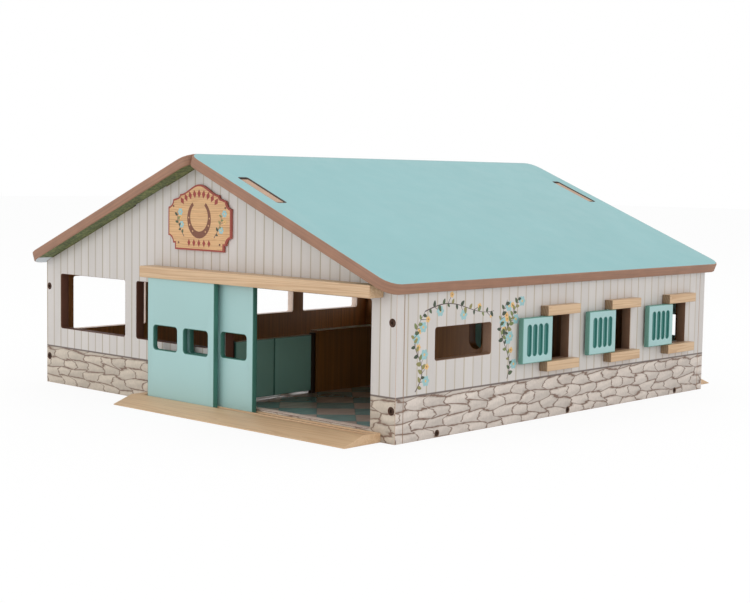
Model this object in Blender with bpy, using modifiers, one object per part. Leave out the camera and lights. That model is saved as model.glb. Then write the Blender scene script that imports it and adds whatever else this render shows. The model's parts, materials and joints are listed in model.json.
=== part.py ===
"""Wooden toy horse barn: printed board walls, a lift-off saddle roof, sliding doors, shutters and stall gates.

Axes: X across the barn, Y from the front gable (-Y) to the rear gable (+Y), Z up.
The origin lies on the floor under the middle of the barn. Lengths are in metres.
"""

import math

import bmesh
import bpy

# Whole barn
barn_width = 0.624
barn_depth = 0.620
eave_height = 0.1611
roof_pitch = math.radians(22.45)

# Boards and the gaps between pieces
wall_board = 0.012
roof_board = 0.012
floor_board = 0.009
thin_board = 0.0065
seat_gap = 0.0003
cut_overrun = 0.002

# Roof panels, each held by tabs of the gable walls in two slots
eave_overhang = 0.0119
gable_overhang = 0.02275
ridge_gap = 0.0003
roof_corner_radius = 0.018
slot_from_ridge = 0.0713
slot_length = 0.0701
slot_side_gap = 0.0006
slot_end_gap = 0.003
slot_corner_radius = 0.0015
tab_sink = 0.001

# Doorway and windows of the gable walls
pilaster_width = 0.036
doorway_width = 0.2307
threshold_height = 0.0124
doorway_below_rail = 0.0028
gable_window_margin = 0.0319
gable_window_post = 0.0226
doorway_post = 0.0312
gable_window_below_eave = 0.0156
gable_window_height = 0.0711
window_corner_radius = 0.003

# Windows of the left wall
left_window_count = 4
left_window_margin = 0.0222
left_window_post = 0.022
left_window_below_eave = 0.0211
left_window_height = 0.071

# Plain window of the right wall
plain_window_from_front = 0.062
plain_window_width = 0.0964
plain_window_below_eave = 0.0414
plain_window_height = 0.0358

# Shuttered stalls along the right wall
stall_count = 3
stalls_from_front = 0.212
stall_window_width = 0.0516
stall_window_shift = 0.0043
stall_window_below_eave = 0.0393
stall_window_height = 0.0536
block_overlap = 0.0067
block_height = 0.0114
block_depth = 0.0115
block_edge = 0.0008
shutter_play = 0.0004
shutter_lap = 0.0045
pivot_inset = 0.0025
pivot_edge = 0.0034
shutter_pin_radius = 0.00125
pin_embed = 0.008
flute_count = 4
flute_width = 0.007
flute_height = 0.0355
flute_pitch = 0.0107
flute_depth = 0.0019

# Sliding doors with their rails and ramps
door_width = 0.1215
door_parking_spare = 0.0043
door_closing_spare = 0.0112
rail_height = 0.0138
rail_headroom = 0.0009
rail_lip = 0.0027
rail_end = 0.0071
rail_edge = 0.0008
groove_side_gap = 0.00035
groove_wall = 0.0033
rail_groove_depth = 0.008
door_in_rail = 0.006
ramp_height = 0.0107
ramp_depth = 0.055
ramp_landing = 0.0279
ramp_nose = 0.0012
ramp_groove_depth = 0.0037
ramp_left_end = 0.0143
ramp_right_end = 0.0048
door_window_width = 0.0434
door_window_height = 0.0288
door_window_below_top = 0.0625
door_window_gap = 0.012
door_window_radius = 0.004
front_outer_door_rest = 0.0068
front_inner_door_rest = 0.0618
rear_door_lap = 0.0053

# Sign over the front doors
sign_width = 0.113
sign_height = 0.078
sign_board = 0.003
sign_below_ridge = 0.0231
sign_crown = 0.012
sign_crown_width = 0.070
sign_shoulder = 0.0185
sign_foot = 0.0075
sign_foot_width = 0.088
sign_scoop = 0.009
sign_small_scoop = 0.0045

# Low partition and swing gates of the left side
partition_from_doorway = 0.008
partition_length = 0.304
partition_height = 0.087
gate_top = 0.0825
gate_floor_gap = 0.0035
gate_seam = 0.0008
gate_post_radius = 0.004
gate_post_wall_gap = 0.003
gate_post_rise = 0.0015
gate_spigot_radius = 0.0025
gate_spigot_length = 0.007

# Screens between the stalls of the right side
screen_length = 0.150
screen_height = 0.134
notch_from_wall = 0.053
notch_width = 0.020
notch_floor = 0.079

# Tenons that hold partition and screens in the floor
tenon_length = 0.040

# Screws of the walls and of the floor
wall_screw_length = 0.030
wall_screw_radius = 0.002
wall_screw_head_radius = 0.004
wall_screw_low = 0.035
wall_screw_below_eave = 0.0331
floor_screw_length = 0.026
floor_screw_radius = 0.0015
floor_screw_head_radius = 0.0033
floor_screw_from_end = 0.068
screw_head_height = 0.0024
screw_head_edge = 0.0005
screw_tip_length = 0.003
screw_sink = 0.0002
socket_share = 0.55
socket_depth = 0.0014

# Smoothness of round stretches
corner_steps = 4
ogee_steps = 10
turned_sides = 16
smooth_angle = math.radians(40)

# Sizes that follow from the ones above
half_width = barn_width / 2
half_depth = barn_depth / 2
inner_half_width = half_width - wall_board
inner_half_depth = half_depth - wall_board
tan_pitch = math.tan(roof_pitch)
cos_pitch = math.cos(roof_pitch)
sin_pitch = math.sin(roof_pitch)
under_ridge = eave_height + half_width * tan_pitch
ridge_height = under_ridge + roof_board / cos_pitch
roof_slant = (half_width + eave_overhang) / cos_pitch
roof_half_length = half_depth + gable_overhang

doorway_right = half_width - pilaster_width
doorway_left = doorway_right - doorway_width
groove_left = doorway_left - door_width - door_parking_spare
groove_right = doorway_right + door_closing_spare
groove_width = thin_board + 2 * groove_side_gap
rail_left = groove_left - rail_end
rail_right = groove_right + rail_end
rail_depth = 2 * rail_lip + 2 * groove_width + groove_wall
rail_top = eave_height + (half_width - rail_right) * tan_pitch - rail_headroom
rail_bottom = rail_top - rail_height
doorway_top = rail_bottom - doorway_below_rail
door_bottom = ramp_height - ramp_groove_depth + seat_gap
door_top = rail_bottom + door_in_rail
inner_groove = half_depth + seat_gap + rail_lip + groove_width / 2
outer_groove = inner_groove + groove_width + groove_wall
gable_window_width = (doorway_left - doorway_post + half_width - gable_window_margin - gable_window_post) / 2
gable_window_top = eave_height - gable_window_below_eave
door_window_sill = door_top - door_bottom - door_window_below_top - door_window_height

side_wall_half_length = inner_half_depth - seat_gap
side_wall_height = eave_height - seat_gap
left_window_top = eave_height - left_window_below_eave
plain_window_top = eave_height - plain_window_below_eave
left_window_posts = (left_window_count - 1) * left_window_post
left_window_width = (2 * (inner_half_depth - left_window_margin) - left_window_posts) / left_window_count

stalls_start = -half_depth + stalls_from_front
stall_pitch = (inner_half_depth - stalls_start) / stall_count
stall_window_top = eave_height - stall_window_below_eave
stall_window_sill = stall_window_top - stall_window_height
shutter_width = stall_window_width - pivot_inset + shutter_lap + pivot_edge
shutter_height = stall_window_height - 2 * shutter_play
block_length = stall_window_width + 2 * block_overlap
block_middle = half_width + seat_gap + block_depth / 2

partition_right = doorway_left - partition_from_doorway
partition_middle = partition_right - wall_board / 2
partition_end = partition_length / 2
gate_bay = inner_half_depth - partition_end - gate_post_wall_gap - 4 * gate_post_radius
gate_width = (gate_bay - 3 * seat_gap - gate_seam) / 2
gate_line = partition_right - gate_post_radius
gate_post_inner = partition_end + seat_gap + gate_post_radius
gate_post_outer = inner_half_depth - gate_post_wall_gap - gate_post_radius
screen_outer_edge = inner_half_width - seat_gap

# Colours as linear red, green and blue, with roughness
finishes = {
    "printed_board": ((0.62, 0.60, 0.56), 0.45),
    "walnut_print": ((0.09, 0.045, 0.022), 0.5),
    "check_print": ((0.16, 0.21, 0.20), 0.3),
    "teal_paint": ((0.36, 0.63, 0.60), 0.4),
    "pine": ((0.72, 0.50, 0.30), 0.6),
    "sign_print": ((0.66, 0.40, 0.18), 0.5),
    "dark_steel": ((0.05, 0.035, 0.028), 0.35),
    "stained_dowel": ((0.035, 0.022, 0.014), 0.5),
}
metallic_finishes = ("dark_steel",)


def clear_scene():
    """Remove every object, so that the barn is built in an empty scene."""
    for item in list(bpy.data.objects):
        bpy.data.objects.remove(item, do_unlink=True)


def new_collection(name):
    """Add a collection to the scene."""
    collection = bpy.data.collections.new(name)
    bpy.context.scene.collection.children.link(collection)
    return collection


clear_scene()
barn = new_collection("toy_barn")
cutters = new_collection("cutters")


def own_material(node_name, finish):
    """Make a Principled material for one node."""
    colour, roughness = finishes[finish]
    material = bpy.data.materials.new(node_name)
    material.use_nodes = True
    shader = material.node_tree.nodes["Principled BSDF"]
    shader.inputs["Base Color"].default_value = (*colour, 1.0)
    shader.inputs["Roughness"].default_value = roughness
    shader.inputs["Metallic"].default_value = 1.0 if finish in metallic_finishes else 0.0
    material.diffuse_color = (*colour, 1.0)
    return material


def link_part(part, finish):
    """Put an object among the barn's pieces and give it its own material."""
    for collection in list(part.users_collection):
        collection.objects.unlink(part)
    barn.objects.link(part)
    part.data.materials.clear()
    part.data.materials.append(own_material(part.name, finish))
    return part


def link_cutter(cutter):
    """Put an object among the cutters, out of the render."""
    for collection in list(cutter.users_collection):
        collection.objects.unlink(cutter)
    cutters.objects.link(cutter)
    cutter.hide_render = True
    cutter.display_type = "WIRE"
    return cutter


def arc(centre, radius, start, end, steps):
    """Points on an arc about a centre, from one angle to another."""
    angles = [start + (end - start) * step / steps for step in range(steps + 1)]
    return [(centre[0] + radius * math.cos(angle), centre[1] + radius * math.sin(angle)) for angle in angles]


def rounded_rectangle(left, right, bottom, top, radius):
    """Outline of a rectangle with round corners, counter-clockwise."""
    quarter = math.pi / 2
    corners = (
        ((right - radius, bottom + radius), -quarter),
        ((right - radius, top - radius), 0),
        ((left + radius, top - radius), quarter),
        ((left + radius, bottom + radius), 2 * quarter),
    )
    return [point for centre, start in corners
            for point in arc(centre, radius, start, start + quarter, corner_steps)]


def rectangle(left, right, bottom, top):
    """Outline of a rectangle with square corners, counter-clockwise."""
    return [(left, bottom), (right, bottom), (right, top), (left, top)]


def outline_mesh(name, outline, thickness):
    """Board with an outline in local XY, half its thickness to each side of it along local Z."""
    curve = bpy.data.curves.new(name + "_outline", "CURVE")
    curve.dimensions = "2D"
    curve.fill_mode = "BOTH"
    curve.extrude = thickness / 2
    spline = curve.splines.new("POLY")
    spline.points.add(len(outline) - 1)
    for spot, (across, along) in zip(spline.points, outline):
        spot.co = (across, along, 0, 1)
    spline.use_cyclic_u = True
    drawing = bpy.data.objects.new(name + "_outline", curve)
    bpy.context.scene.collection.objects.link(drawing)
    bpy.context.view_layer.update()
    evaluated = drawing.evaluated_get(bpy.context.evaluated_depsgraph_get())
    mesh = bpy.data.meshes.new_from_object(evaluated)
    mesh.name = name
    bpy.data.objects.remove(drawing, do_unlink=True)
    shape = bmesh.new()
    shape.from_mesh(mesh)
    bmesh.ops.remove_doubles(shape, verts=shape.verts, dist=seat_gap / 10)
    bmesh.ops.recalc_face_normals(shape, faces=shape.faces)
    shape.to_mesh(mesh)
    shape.free()
    return mesh


def cut(part, cutter):
    """Take a cutter's shape out of a piece."""
    taking = part.modifiers.new("cut_" + cutter.name, "BOOLEAN")
    taking.operation = "DIFFERENCE"
    taking.solver = "EXACT"
    taking.object = cutter


def board(name, outline, holes, thickness, location, rotation, finish):
    """One flat piece of the barn with its holes cut through."""
    part = bpy.data.objects.new(name, outline_mesh(name, outline, thickness))
    part.location = location
    part.rotation_euler = rotation
    for number, hole in enumerate(holes, start=1):
        label = "%s_hole_%d" % (name, number)
        cutter = bpy.data.objects.new(label, outline_mesh(label, hole, thickness + 2 * cut_overrun))
        cutter.location = location
        cutter.rotation_euler = rotation
        cut(part, link_cutter(cutter))
    return link_part(part, finish)


facing_front = (math.pi / 2, 0, 0)
facing_rear = (-math.pi / 2, 0, 0)
facing_side = (math.pi / 2, 0, math.pi / 2)


def box_mesh(name, low, high):
    """Box between two corners."""
    mesh = bpy.data.meshes.new(name)
    shape = bmesh.new()
    bmesh.ops.create_cube(shape, size=1)
    for vertex in shape.verts:
        vertex.co = [low[axis] if vertex.co[axis] < 0 else high[axis] for axis in range(3)]
    shape.to_mesh(mesh)
    shape.free()
    return mesh


def box_cutter(name, low, high):
    """Box that is cut out of a piece."""
    return link_cutter(bpy.data.objects.new(name, box_mesh(name, low, high)))


def turned_mesh(name, profile):
    """Solid of revolution about local Z from (radius, height) points, top to bottom, on the axis at both ends."""
    mesh = bpy.data.meshes.new(name + "_profile")
    edges = [(index, index + 1) for index in range(len(profile) - 1)]
    mesh.from_pydata([(radius, 0, height) for radius, height in profile], edges, [])
    drawing = bpy.data.objects.new(name + "_profile", mesh)
    bpy.context.scene.collection.objects.link(drawing)
    turning = drawing.modifiers.new("turning", "SCREW")
    turning.axis = "Z"
    turning.steps = turned_sides
    turning.render_steps = turned_sides
    turning.use_merge_vertices = True
    turning.merge_threshold = seat_gap / 30
    turning.use_smooth_shade = True
    bpy.context.view_layer.update()
    evaluated = drawing.evaluated_get(bpy.context.evaluated_depsgraph_get())
    turned = bpy.data.meshes.new_from_object(evaluated)
    turned.name = name
    bpy.data.objects.remove(drawing, do_unlink=True)
    turned.set_sharp_from_angle(angle=smooth_angle)
    return turned


def rod_mesh(name, radius, low, high, edge):
    """Round rod along local Z with its ends chamfered."""
    profile = [(0, high), (radius - edge, high), (radius, high - edge)]
    profile += [(radius, low + edge), (radius - edge, low), (0, low)]
    return turned_mesh(name, profile)


def rod_cutter(name, radius, low, high, location, rotation):
    """Plain round cutter along local Z."""
    cutter = bpy.data.objects.new(name, turned_mesh(name, [(0, high), (radius, high), (radius, low), (0, low)]))
    cutter.location = location
    cutter.rotation_euler = rotation
    return link_cutter(cutter)


def soften(part, width):
    """Break the sharp edges of a piece."""
    easing = part.modifiers.new("eased_edges", "BEVEL")
    easing.width = width
    easing.segments = 1
    easing.limit_method = "ANGLE"


def finished_mesh(part):
    """Mesh of a piece with its modifiers worked in, for copies that share it."""
    bpy.context.view_layer.update()
    evaluated = part.evaluated_get(bpy.context.evaluated_depsgraph_get())
    return bpy.data.meshes.new_from_object(evaluated)


def on_slope(from_ridge, below_surface):
    """World X and Z of a point on the right roof slope."""
    across = from_ridge * cos_pitch - below_surface * sin_pitch
    height = ridge_height - from_ridge * sin_pitch - below_surface * cos_pitch
    return across, height


def build_floor():
    """Floor board with mortises for tenons and holes for the gate posts."""
    holes = [rectangle(*mortise) for mortise in floor_mortises()]
    hole_radius = gate_spigot_radius + seat_gap
    for side in (-1, 1):
        for along in (gate_post_inner, gate_post_outer):
            ring = arc((gate_line, side * along), hole_radius, 0, 2 * math.pi, turned_sides)
            holes.append(ring[:-1])
    edge = (inner_half_width - seat_gap, inner_half_depth - seat_gap)
    outline = rectangle(-edge[0], edge[0], -edge[1], edge[1])
    middle = (0, 0, floor_board / 2)
    return board("base_floor", outline, holes, floor_board, middle, (0, 0, 0), "check_print")


def floor_mortises():
    """Left, right, bottom and top of each mortise in the floor, seen from above."""
    half_tenon = tenon_length / 2 + seat_gap
    half_board = wall_board / 2 + seat_gap
    mortises = []
    for side in (-1, 1):
        along = side * partition_end / 2
        mortises.append((partition_middle - half_board, partition_middle + half_board,
                         along - half_tenon, along + half_tenon))
    across = screen_outer_edge - screen_length / 2
    for index in range(stall_count):
        along = screen_middle(index)
        mortises.append((across - half_tenon, across + half_tenon, along - half_board, along + half_board))
    return mortises


def screen_middle(index):
    """Place along the barn of a screen's middle plane."""
    return stalls_start + index * stall_pitch + wall_board / 2


def gable_outline():
    """Outline of a gable wall with the two tabs that stand up through the roof."""
    top_depth = roof_board + seat_gap
    tab_start = slot_from_ridge + slot_end_gap
    tab_end = slot_from_ridge + slot_length - slot_end_gap
    eave_corner = (half_width, eave_height - seat_gap / cos_pitch)
    tab = [on_slope(tab_end, top_depth), on_slope(tab_end, tab_sink)]
    tab += [on_slope(tab_start, tab_sink), on_slope(tab_start, top_depth)]
    right = [(half_width, 0), eave_corner] + tab
    left = [(-across, height) for across, height in reversed(right)]
    return right + [(0, under_ridge - seat_gap / cos_pitch)] + left


def gable_holes():
    """Outlines of the doorway and the two windows of a gable wall."""
    holes = [rounded_rectangle(doorway_left, doorway_right, threshold_height, doorway_top, window_corner_radius)]
    for index in range(2):
        left = -half_width + gable_window_margin + index * (gable_window_width + gable_window_post)
        holes.append(rounded_rectangle(left, left + gable_window_width, gable_window_top - gable_window_height,
                                       gable_window_top, window_corner_radius))
    return holes


def build_gable_walls():
    """Front and rear wall, cut from the same drawing."""
    middle = half_depth - wall_board / 2
    front = board("front_wall", gable_outline(), gable_holes(), wall_board, (0, -middle, 0), facing_front,
                  "printed_board")
    rear = board("rear_wall", gable_outline(), gable_holes(), wall_board, (0, middle, 0), facing_front,
                 "printed_board")
    return front, rear


def build_left_wall():
    """Left wall with its row of windows."""
    holes = []
    for index in range(left_window_count):
        start = -inner_half_depth + left_window_margin + index * (left_window_width + left_window_post)
        holes.append(rounded_rectangle(start, start + left_window_width, left_window_top - left_window_height,
                                       left_window_top, window_corner_radius))
    outline = rectangle(-side_wall_half_length, side_wall_half_length, 0, side_wall_height)
    across = -half_width + wall_board / 2
    return board("left_wall", outline, holes, wall_board, (across, 0, 0), facing_side, "printed_board")


def stall_window_start(index):
    """Place along the barn where a shuttered window begins."""
    middle = stalls_start + (index + 1 / 2) * stall_pitch + stall_window_shift
    return middle - stall_window_width / 2


def build_right_wall():
    """Right wall with the plain window and one opening for each shutter."""
    start = -half_depth + plain_window_from_front
    holes = [rounded_rectangle(start, start + plain_window_width, plain_window_top - plain_window_height,
                               plain_window_top, window_corner_radius)]
    for index in range(stall_count):
        start = stall_window_start(index)
        holes.append(rectangle(start, start + stall_window_width, stall_window_sill, stall_window_top))
    outline = rectangle(-side_wall_half_length, side_wall_half_length, 0, side_wall_height)
    across = half_width - wall_board / 2
    return board("right_wall", outline, holes, wall_board, (across, 0, 0), facing_side, "printed_board")


def build_roof():
    """Two roof panels, bevelled at the ridge and slotted over the gable walls."""
    gable_middle = half_depth - wall_board / 2
    half_slot = wall_board / 2 + slot_side_gap
    slots = []
    for side in (-1, 1):
        middle = side * gable_middle
        slots.append(rounded_rectangle(slot_from_ridge, slot_from_ridge + slot_length, middle - half_slot,
                                       middle + half_slot, slot_corner_radius))
    outline = rounded_rectangle(0, roof_slant, -roof_half_length, roof_half_length, roof_corner_radius)
    across, height = on_slope(0, roof_board / 2)
    tall = roof_board + cut_overrun
    for side, name, turn in ((1, "roof_right", 0), (-1, "roof_left", math.pi)):
        panel = board(name, outline, slots, roof_board, (side * across, 0, height), (0, roof_pitch, turn),
                      "teal_paint")
        reach = (-side * roof_board, side * ridge_gap)
        low = (min(reach), -roof_half_length - cut_overrun, ridge_height - 2 * tall)
        high = (max(reach), roof_half_length + cut_overrun, ridge_height + tall)
        cut(panel, box_cutter("ridge_" + name, low, high))


def build_rail_and_ramp(side, name):
    """Grooved rail over a doorway and grooved ramp under it."""
    near = side * (half_depth + seat_gap)
    far = near + side * rail_depth
    low = (rail_left, min(near, far), rail_bottom)
    high = (rail_right, max(near, far), rail_top)
    rail = link_part(bpy.data.objects.new(name + "_door_rail", box_mesh(name + "_door_rail", low, high)), "pine")
    soften(rail, rail_edge)
    toe = half_depth + ramp_depth
    landing = half_depth + seat_gap + ramp_landing
    profile = [(half_depth + seat_gap, 0), (toe, 0), (toe, ramp_nose), (landing, ramp_height)]
    profile.append((half_depth + seat_gap, ramp_height))
    profile = [(side * along, height) for along, height in profile]
    left = groove_left - ramp_left_end
    right = groove_right + ramp_right_end
    ramp = board(name + "_ramp", profile, [], right - left, ((left + right) / 2, 0, 0), facing_side, "pine")
    for track, offset in (("inner", inner_groove), ("outer", outer_groove)):
        middle = side * offset
        low = (groove_left, middle - groove_width / 2, rail_bottom - cut_overrun)
        high = (groove_right, middle + groove_width / 2, rail_bottom + rail_groove_depth)
        cut(rail, box_cutter(name + "_rail_" + track, low, high))
        low = (groove_left, middle - groove_width / 2, ramp_height - ramp_groove_depth)
        high = (groove_right, middle + groove_width / 2, ramp_height + cut_overrun)
        cut(ramp, box_cutter(name + "_ramp_" + track, low, high))


def build_door(name, left, track, side):
    """Sliding door with two finger windows, its origin at the middle of its lower edge."""
    half = door_width / 2
    outline = rectangle(-half, half, 0, door_top - door_bottom)
    holes = []
    for window_side in (-1, 1):
        middle = window_side * (door_window_gap + door_window_width) / 2
        holes.append(rounded_rectangle(middle - door_window_width / 2, middle + door_window_width / 2,
                                       door_window_sill, door_window_sill + door_window_height,
                                       door_window_radius))
    place = (left + half, side * track, door_bottom)
    return board(name, outline, holes, thin_board, place, facing_front, "teal_paint")


def build_doors():
    """Front doors as they stand half open, rear doors closed."""
    build_door("front_door_outer", groove_left + front_outer_door_rest, outer_groove, -1)
    build_door("front_door_inner", groove_left + front_inner_door_rest, inner_groove, -1)
    build_door("rear_door_outer", doorway_left - rear_door_lap, outer_groove, 1)
    build_door("rear_door_inner", doorway_right + rear_door_lap - door_width, inner_groove, 1)


def shutter_mesh():
    """Shutter drawn from its pivot: fluted on both faces and bored for its pin."""
    near = -(shutter_width - pivot_edge)
    pattern = board("shutter_pattern", rectangle(near, pivot_edge, 0, shutter_height), [], thin_board,
                    (0, 0, 0), (0, 0, 0), "teal_paint")
    middle = (near + pivot_edge) / 2
    low = (shutter_height - flute_height) / 2
    radius = flute_width / 2 - seat_gap
    tools = [rod_cutter("pin_bore", shutter_pin_radius + seat_gap, -cut_overrun, shutter_height + cut_overrun,
                        (0, 0, 0), facing_rear)]
    for index in range(flute_count):
        centre = middle + (index - (flute_count - 1) / 2) * flute_pitch
        outline = rounded_rectangle(centre - flute_width / 2, centre + flute_width / 2, low, low + flute_height,
                                    radius)
        for face in (-1, 1):
            label = "flute_%d_%s" % (index + 1, "back" if face < 0 else "face")
            flute = bpy.data.objects.new(label, outline_mesh(label, outline, 2 * flute_depth))
            flute.location = (0, 0, face * thin_board / 2)
            tools.append(link_cutter(flute))
    for tool in tools:
        cut(pattern, tool)
    mesh = finished_mesh(pattern)
    for item in tools + [pattern]:
        bpy.data.objects.remove(item, do_unlink=True)
    return mesh


def build_shutters():
    """Three shutters, each on a pin between two blocks, standing open against the wall."""
    mesh = shutter_mesh()
    pin_low = stall_window_sill - pin_embed
    pin_high = stall_window_top + pin_embed
    pin_edge = shutter_pin_radius / 4
    for index in range(stall_count):
        number = str(index + 1)
        start = stall_window_start(index)
        pivot = (block_middle, start + pivot_inset)
        shutter = bpy.data.objects.new("shutter_" + number, mesh.copy())
        shutter.location = (*pivot, stall_window_sill + shutter_play)
        shutter.rotation_euler = facing_side
        link_part(shutter, "teal_paint")
        pin_name = "shutter_pin_" + number
        pin_mesh = rod_mesh(pin_name, shutter_pin_radius, pin_low, pin_high, pin_edge)
        pin = bpy.data.objects.new(pin_name, pin_mesh)
        pin.location = (*pivot, 0)
        link_part(pin, "dark_steel")
        reach = pin_embed + seat_gap
        bore = rod_cutter("block_bore_" + number, shutter_pin_radius + seat_gap, stall_window_sill - reach,
                          stall_window_top + reach, (*pivot, 0), (0, 0, 0))
        heights = (("head", stall_window_top), ("sill", stall_window_sill - block_height))
        for label, bottom in heights:
            low = (half_width + seat_gap, start - block_overlap, bottom)
            high = (half_width + seat_gap + block_depth, start - block_overlap + block_length,
                    bottom + block_height)
            block_name = "shutter_%s_%s" % (label, number)
            block = link_part(bpy.data.objects.new(block_name, box_mesh(block_name, low, high)), "pine")
            soften(block, block_edge)
            cut(block, bore)


def sign_outline():
    """Sign board with an ogee crown, scooped shoulders and a stepped foot, drawn from its middle."""
    half = sign_width / 2
    top = sign_height / 2
    base = -top
    quarter = math.pi / 2
    crown_half = sign_crown_width / 2
    shoulder = top - sign_shoulder
    right = [(0, base), (sign_foot_width / 2, base), (sign_foot_width / 2, base + sign_foot)]
    right += arc((half, base + sign_foot), sign_scoop, 2 * quarter, quarter, corner_steps)
    right += arc((half, shoulder), sign_scoop, -quarter, -2 * quarter, corner_steps)
    corner = (crown_half + sign_small_scoop, top - sign_crown)
    right += arc(corner, sign_small_scoop, -quarter, -2 * quarter, corner_steps)
    for step in range(1, ogee_steps + 1):
        share = step / ogee_steps
        right.append((crown_half * (1 - share), top - sign_crown * (1 + math.cos(math.pi * share)) / 2))
    left = [(-across, height) for across, height in reversed(right[1:-1])]
    return right + left


def build_sign():
    """Sign on the front gable."""
    middle = under_ridge - sign_below_ridge - sign_height / 2
    along = -half_depth - seat_gap - sign_board / 2
    board("sign_board", sign_outline(), [], sign_board, (0, along, middle), facing_front, "sign_print")


def build_partition():
    """Low wall along the aisle, with two tenons in the floor."""
    bottom = floor_board + seat_gap
    outline = [(-partition_end, partition_height), (-partition_end, bottom)]
    for side in (-1, 1):
        middle = side * partition_end / 2
        start = middle - tenon_length / 2
        end = middle + tenon_length / 2
        outline += [(start, bottom), (start, seat_gap), (end, seat_gap), (end, bottom)]
    outline += [(partition_end, bottom), (partition_end, partition_height)]
    board("aisle_partition", outline, [], wall_board, (partition_middle, 0, 0), facing_side, "walnut_print")


def build_screens():
    """Screens between the right stalls, each with an open notch and one tenon in the floor."""
    bottom = floor_board + seat_gap
    inner = screen_outer_edge - screen_length
    tenon_start = screen_outer_edge - screen_length / 2 - tenon_length / 2
    notch = (inner_half_width - notch_from_wall, notch_floor + notch_width / 2)
    outline = [(inner, bottom), (tenon_start, bottom), (tenon_start, seat_gap)]
    outline += [(tenon_start + tenon_length, seat_gap), (tenon_start + tenon_length, bottom)]
    outline += [(screen_outer_edge, bottom), (screen_outer_edge, screen_height)]
    outline += [(notch[0] + notch_width / 2, screen_height)]
    outline += arc(notch, notch_width / 2, 0, -math.pi, 2 * corner_steps)
    outline += [(notch[0] - notch_width / 2, screen_height), (inner, screen_height)]
    for index in range(stall_count):
        board("stall_screen_%d" % (index + 1), outline, [], wall_board, (0, screen_middle(index), 0),
              facing_front, "walnut_print")


def build_gates():
    """Four swing gates, each glued to a round post that turns in the floor."""
    shoulder = floor_board + seat_gap
    top = gate_top + gate_post_rise
    edge = gate_post_radius / 5
    spigot_low = floor_board - gate_spigot_length
    profile = [(0, top), (gate_post_radius - edge, top), (gate_post_radius, top - edge)]
    profile += [(gate_post_radius, shoulder), (gate_spigot_radius, shoulder)]
    profile += [(gate_spigot_radius, spigot_low), (0, spigot_low)]
    bottom = floor_board + gate_floor_gap
    near = gate_post_radius + seat_gap
    places = (("1", -gate_post_outer, 1), ("2", -gate_post_inner, -1),
              ("3", gate_post_inner, 1), ("4", gate_post_outer, -1))
    for number, along, towards in places:
        pivot = bpy.data.objects.new("gate_pivot_" + number, None)
        pivot.location = (gate_line, along, 0)
        barn.objects.link(pivot)
        post_name = "gate_post_" + number
        post = bpy.data.objects.new(post_name, turned_mesh(post_name, profile))
        post.parent = pivot
        link_part(post, "stained_dowel")
        ends = sorted((towards * near, towards * (near + gate_width)))
        gate = board("stall_gate_" + number, rectangle(*ends, bottom, gate_top), [], thin_board, (0, 0, 0),
                     facing_side, "teal_paint")
        gate.parent = pivot


def shank_profile(length, radius, head_radius):
    """Profile of a screw or a drilled hole from the rim of its head down to its tip."""
    below_head = -screw_sink - screw_head_height
    return [(head_radius, below_head), (radius, below_head), (radius, screw_tip_length - length), (0, -length)]


def screw_profile(length, radius, head_radius):
    """Profile of a screw that is driven just below its face."""
    head = [(0, -screw_sink), (head_radius - screw_head_edge, -screw_sink)]
    head.append((head_radius, -screw_sink - screw_head_edge))
    return head + shank_profile(length, radius, head_radius)


def hole_profile(length, radius, head_radius):
    """Profile of the stepped hole for a screw, wider and deeper by the gap between pieces."""
    head = [(0, cut_overrun), (head_radius + seat_gap, cut_overrun)]
    shank = shank_profile(length, radius + seat_gap, head_radius + seat_gap)
    return head + [(across, height - seat_gap) for across, height in shank]


def screw_pattern(name, length, radius, head_radius):
    """Screw along local -Z with a six-sided socket in its head."""
    profile = screw_profile(length, radius, head_radius)
    pattern = link_cutter(bpy.data.objects.new(name, turned_mesh(name, profile)))
    socket_mesh = bpy.data.meshes.new(name + "_socket")
    shape = bmesh.new()
    socket_radius = socket_share * head_radius
    bmesh.ops.create_cone(shape, cap_ends=True, segments=6, radius1=socket_radius, radius2=socket_radius,
                          depth=2 * socket_depth)
    shape.to_mesh(socket_mesh)
    shape.free()
    socket = link_cutter(bpy.data.objects.new(name + "_socket", socket_mesh))
    socket.location = (0, 0, -screw_sink)
    cut(pattern, socket)
    mesh = finished_mesh(pattern)
    mesh.set_sharp_from_angle(angle=smooth_angle)
    bpy.data.objects.remove(pattern, do_unlink=True)
    bpy.data.objects.remove(socket, do_unlink=True)
    return mesh


def drive_screw(name, mesh, hole_shape, location, rotation, drilled):
    """Place a screw and drill the pieces that it goes through."""
    screw = bpy.data.objects.new(name, mesh.copy())
    screw.location = location
    screw.rotation_euler = rotation
    link_part(screw, "dark_steel")
    hole = bpy.data.objects.new("hole_" + name, turned_mesh("hole_" + name, hole_shape))
    hole.location = location
    hole.rotation_euler = rotation
    link_cutter(hole)
    for part in drilled:
        cut(part, hole)


def build_wall_screws(front, rear, left, right):
    """Four screws through each gable wall into the ends of the side walls."""
    sizes = (wall_screw_length, wall_screw_radius, wall_screw_head_radius)
    mesh = screw_pattern("wall_screw", *sizes)
    hole = hole_profile(*sizes)
    across = half_width - wall_board / 2
    ends = (("front", front, -half_depth, facing_front), ("rear", rear, half_depth, facing_rear))
    sides = (("left", left, -across), ("right", right, across))
    heights = (("low", wall_screw_low), ("high", eave_height - wall_screw_below_eave))
    for end_name, gable, face, turn in ends:
        for side_name, wall, place in sides:
            for level, height in heights:
                name = "screw_%s_%s_%s" % (end_name, side_name, level)
                drive_screw(name, mesh, hole, (place, face, height), turn, (gable, wall))


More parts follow.
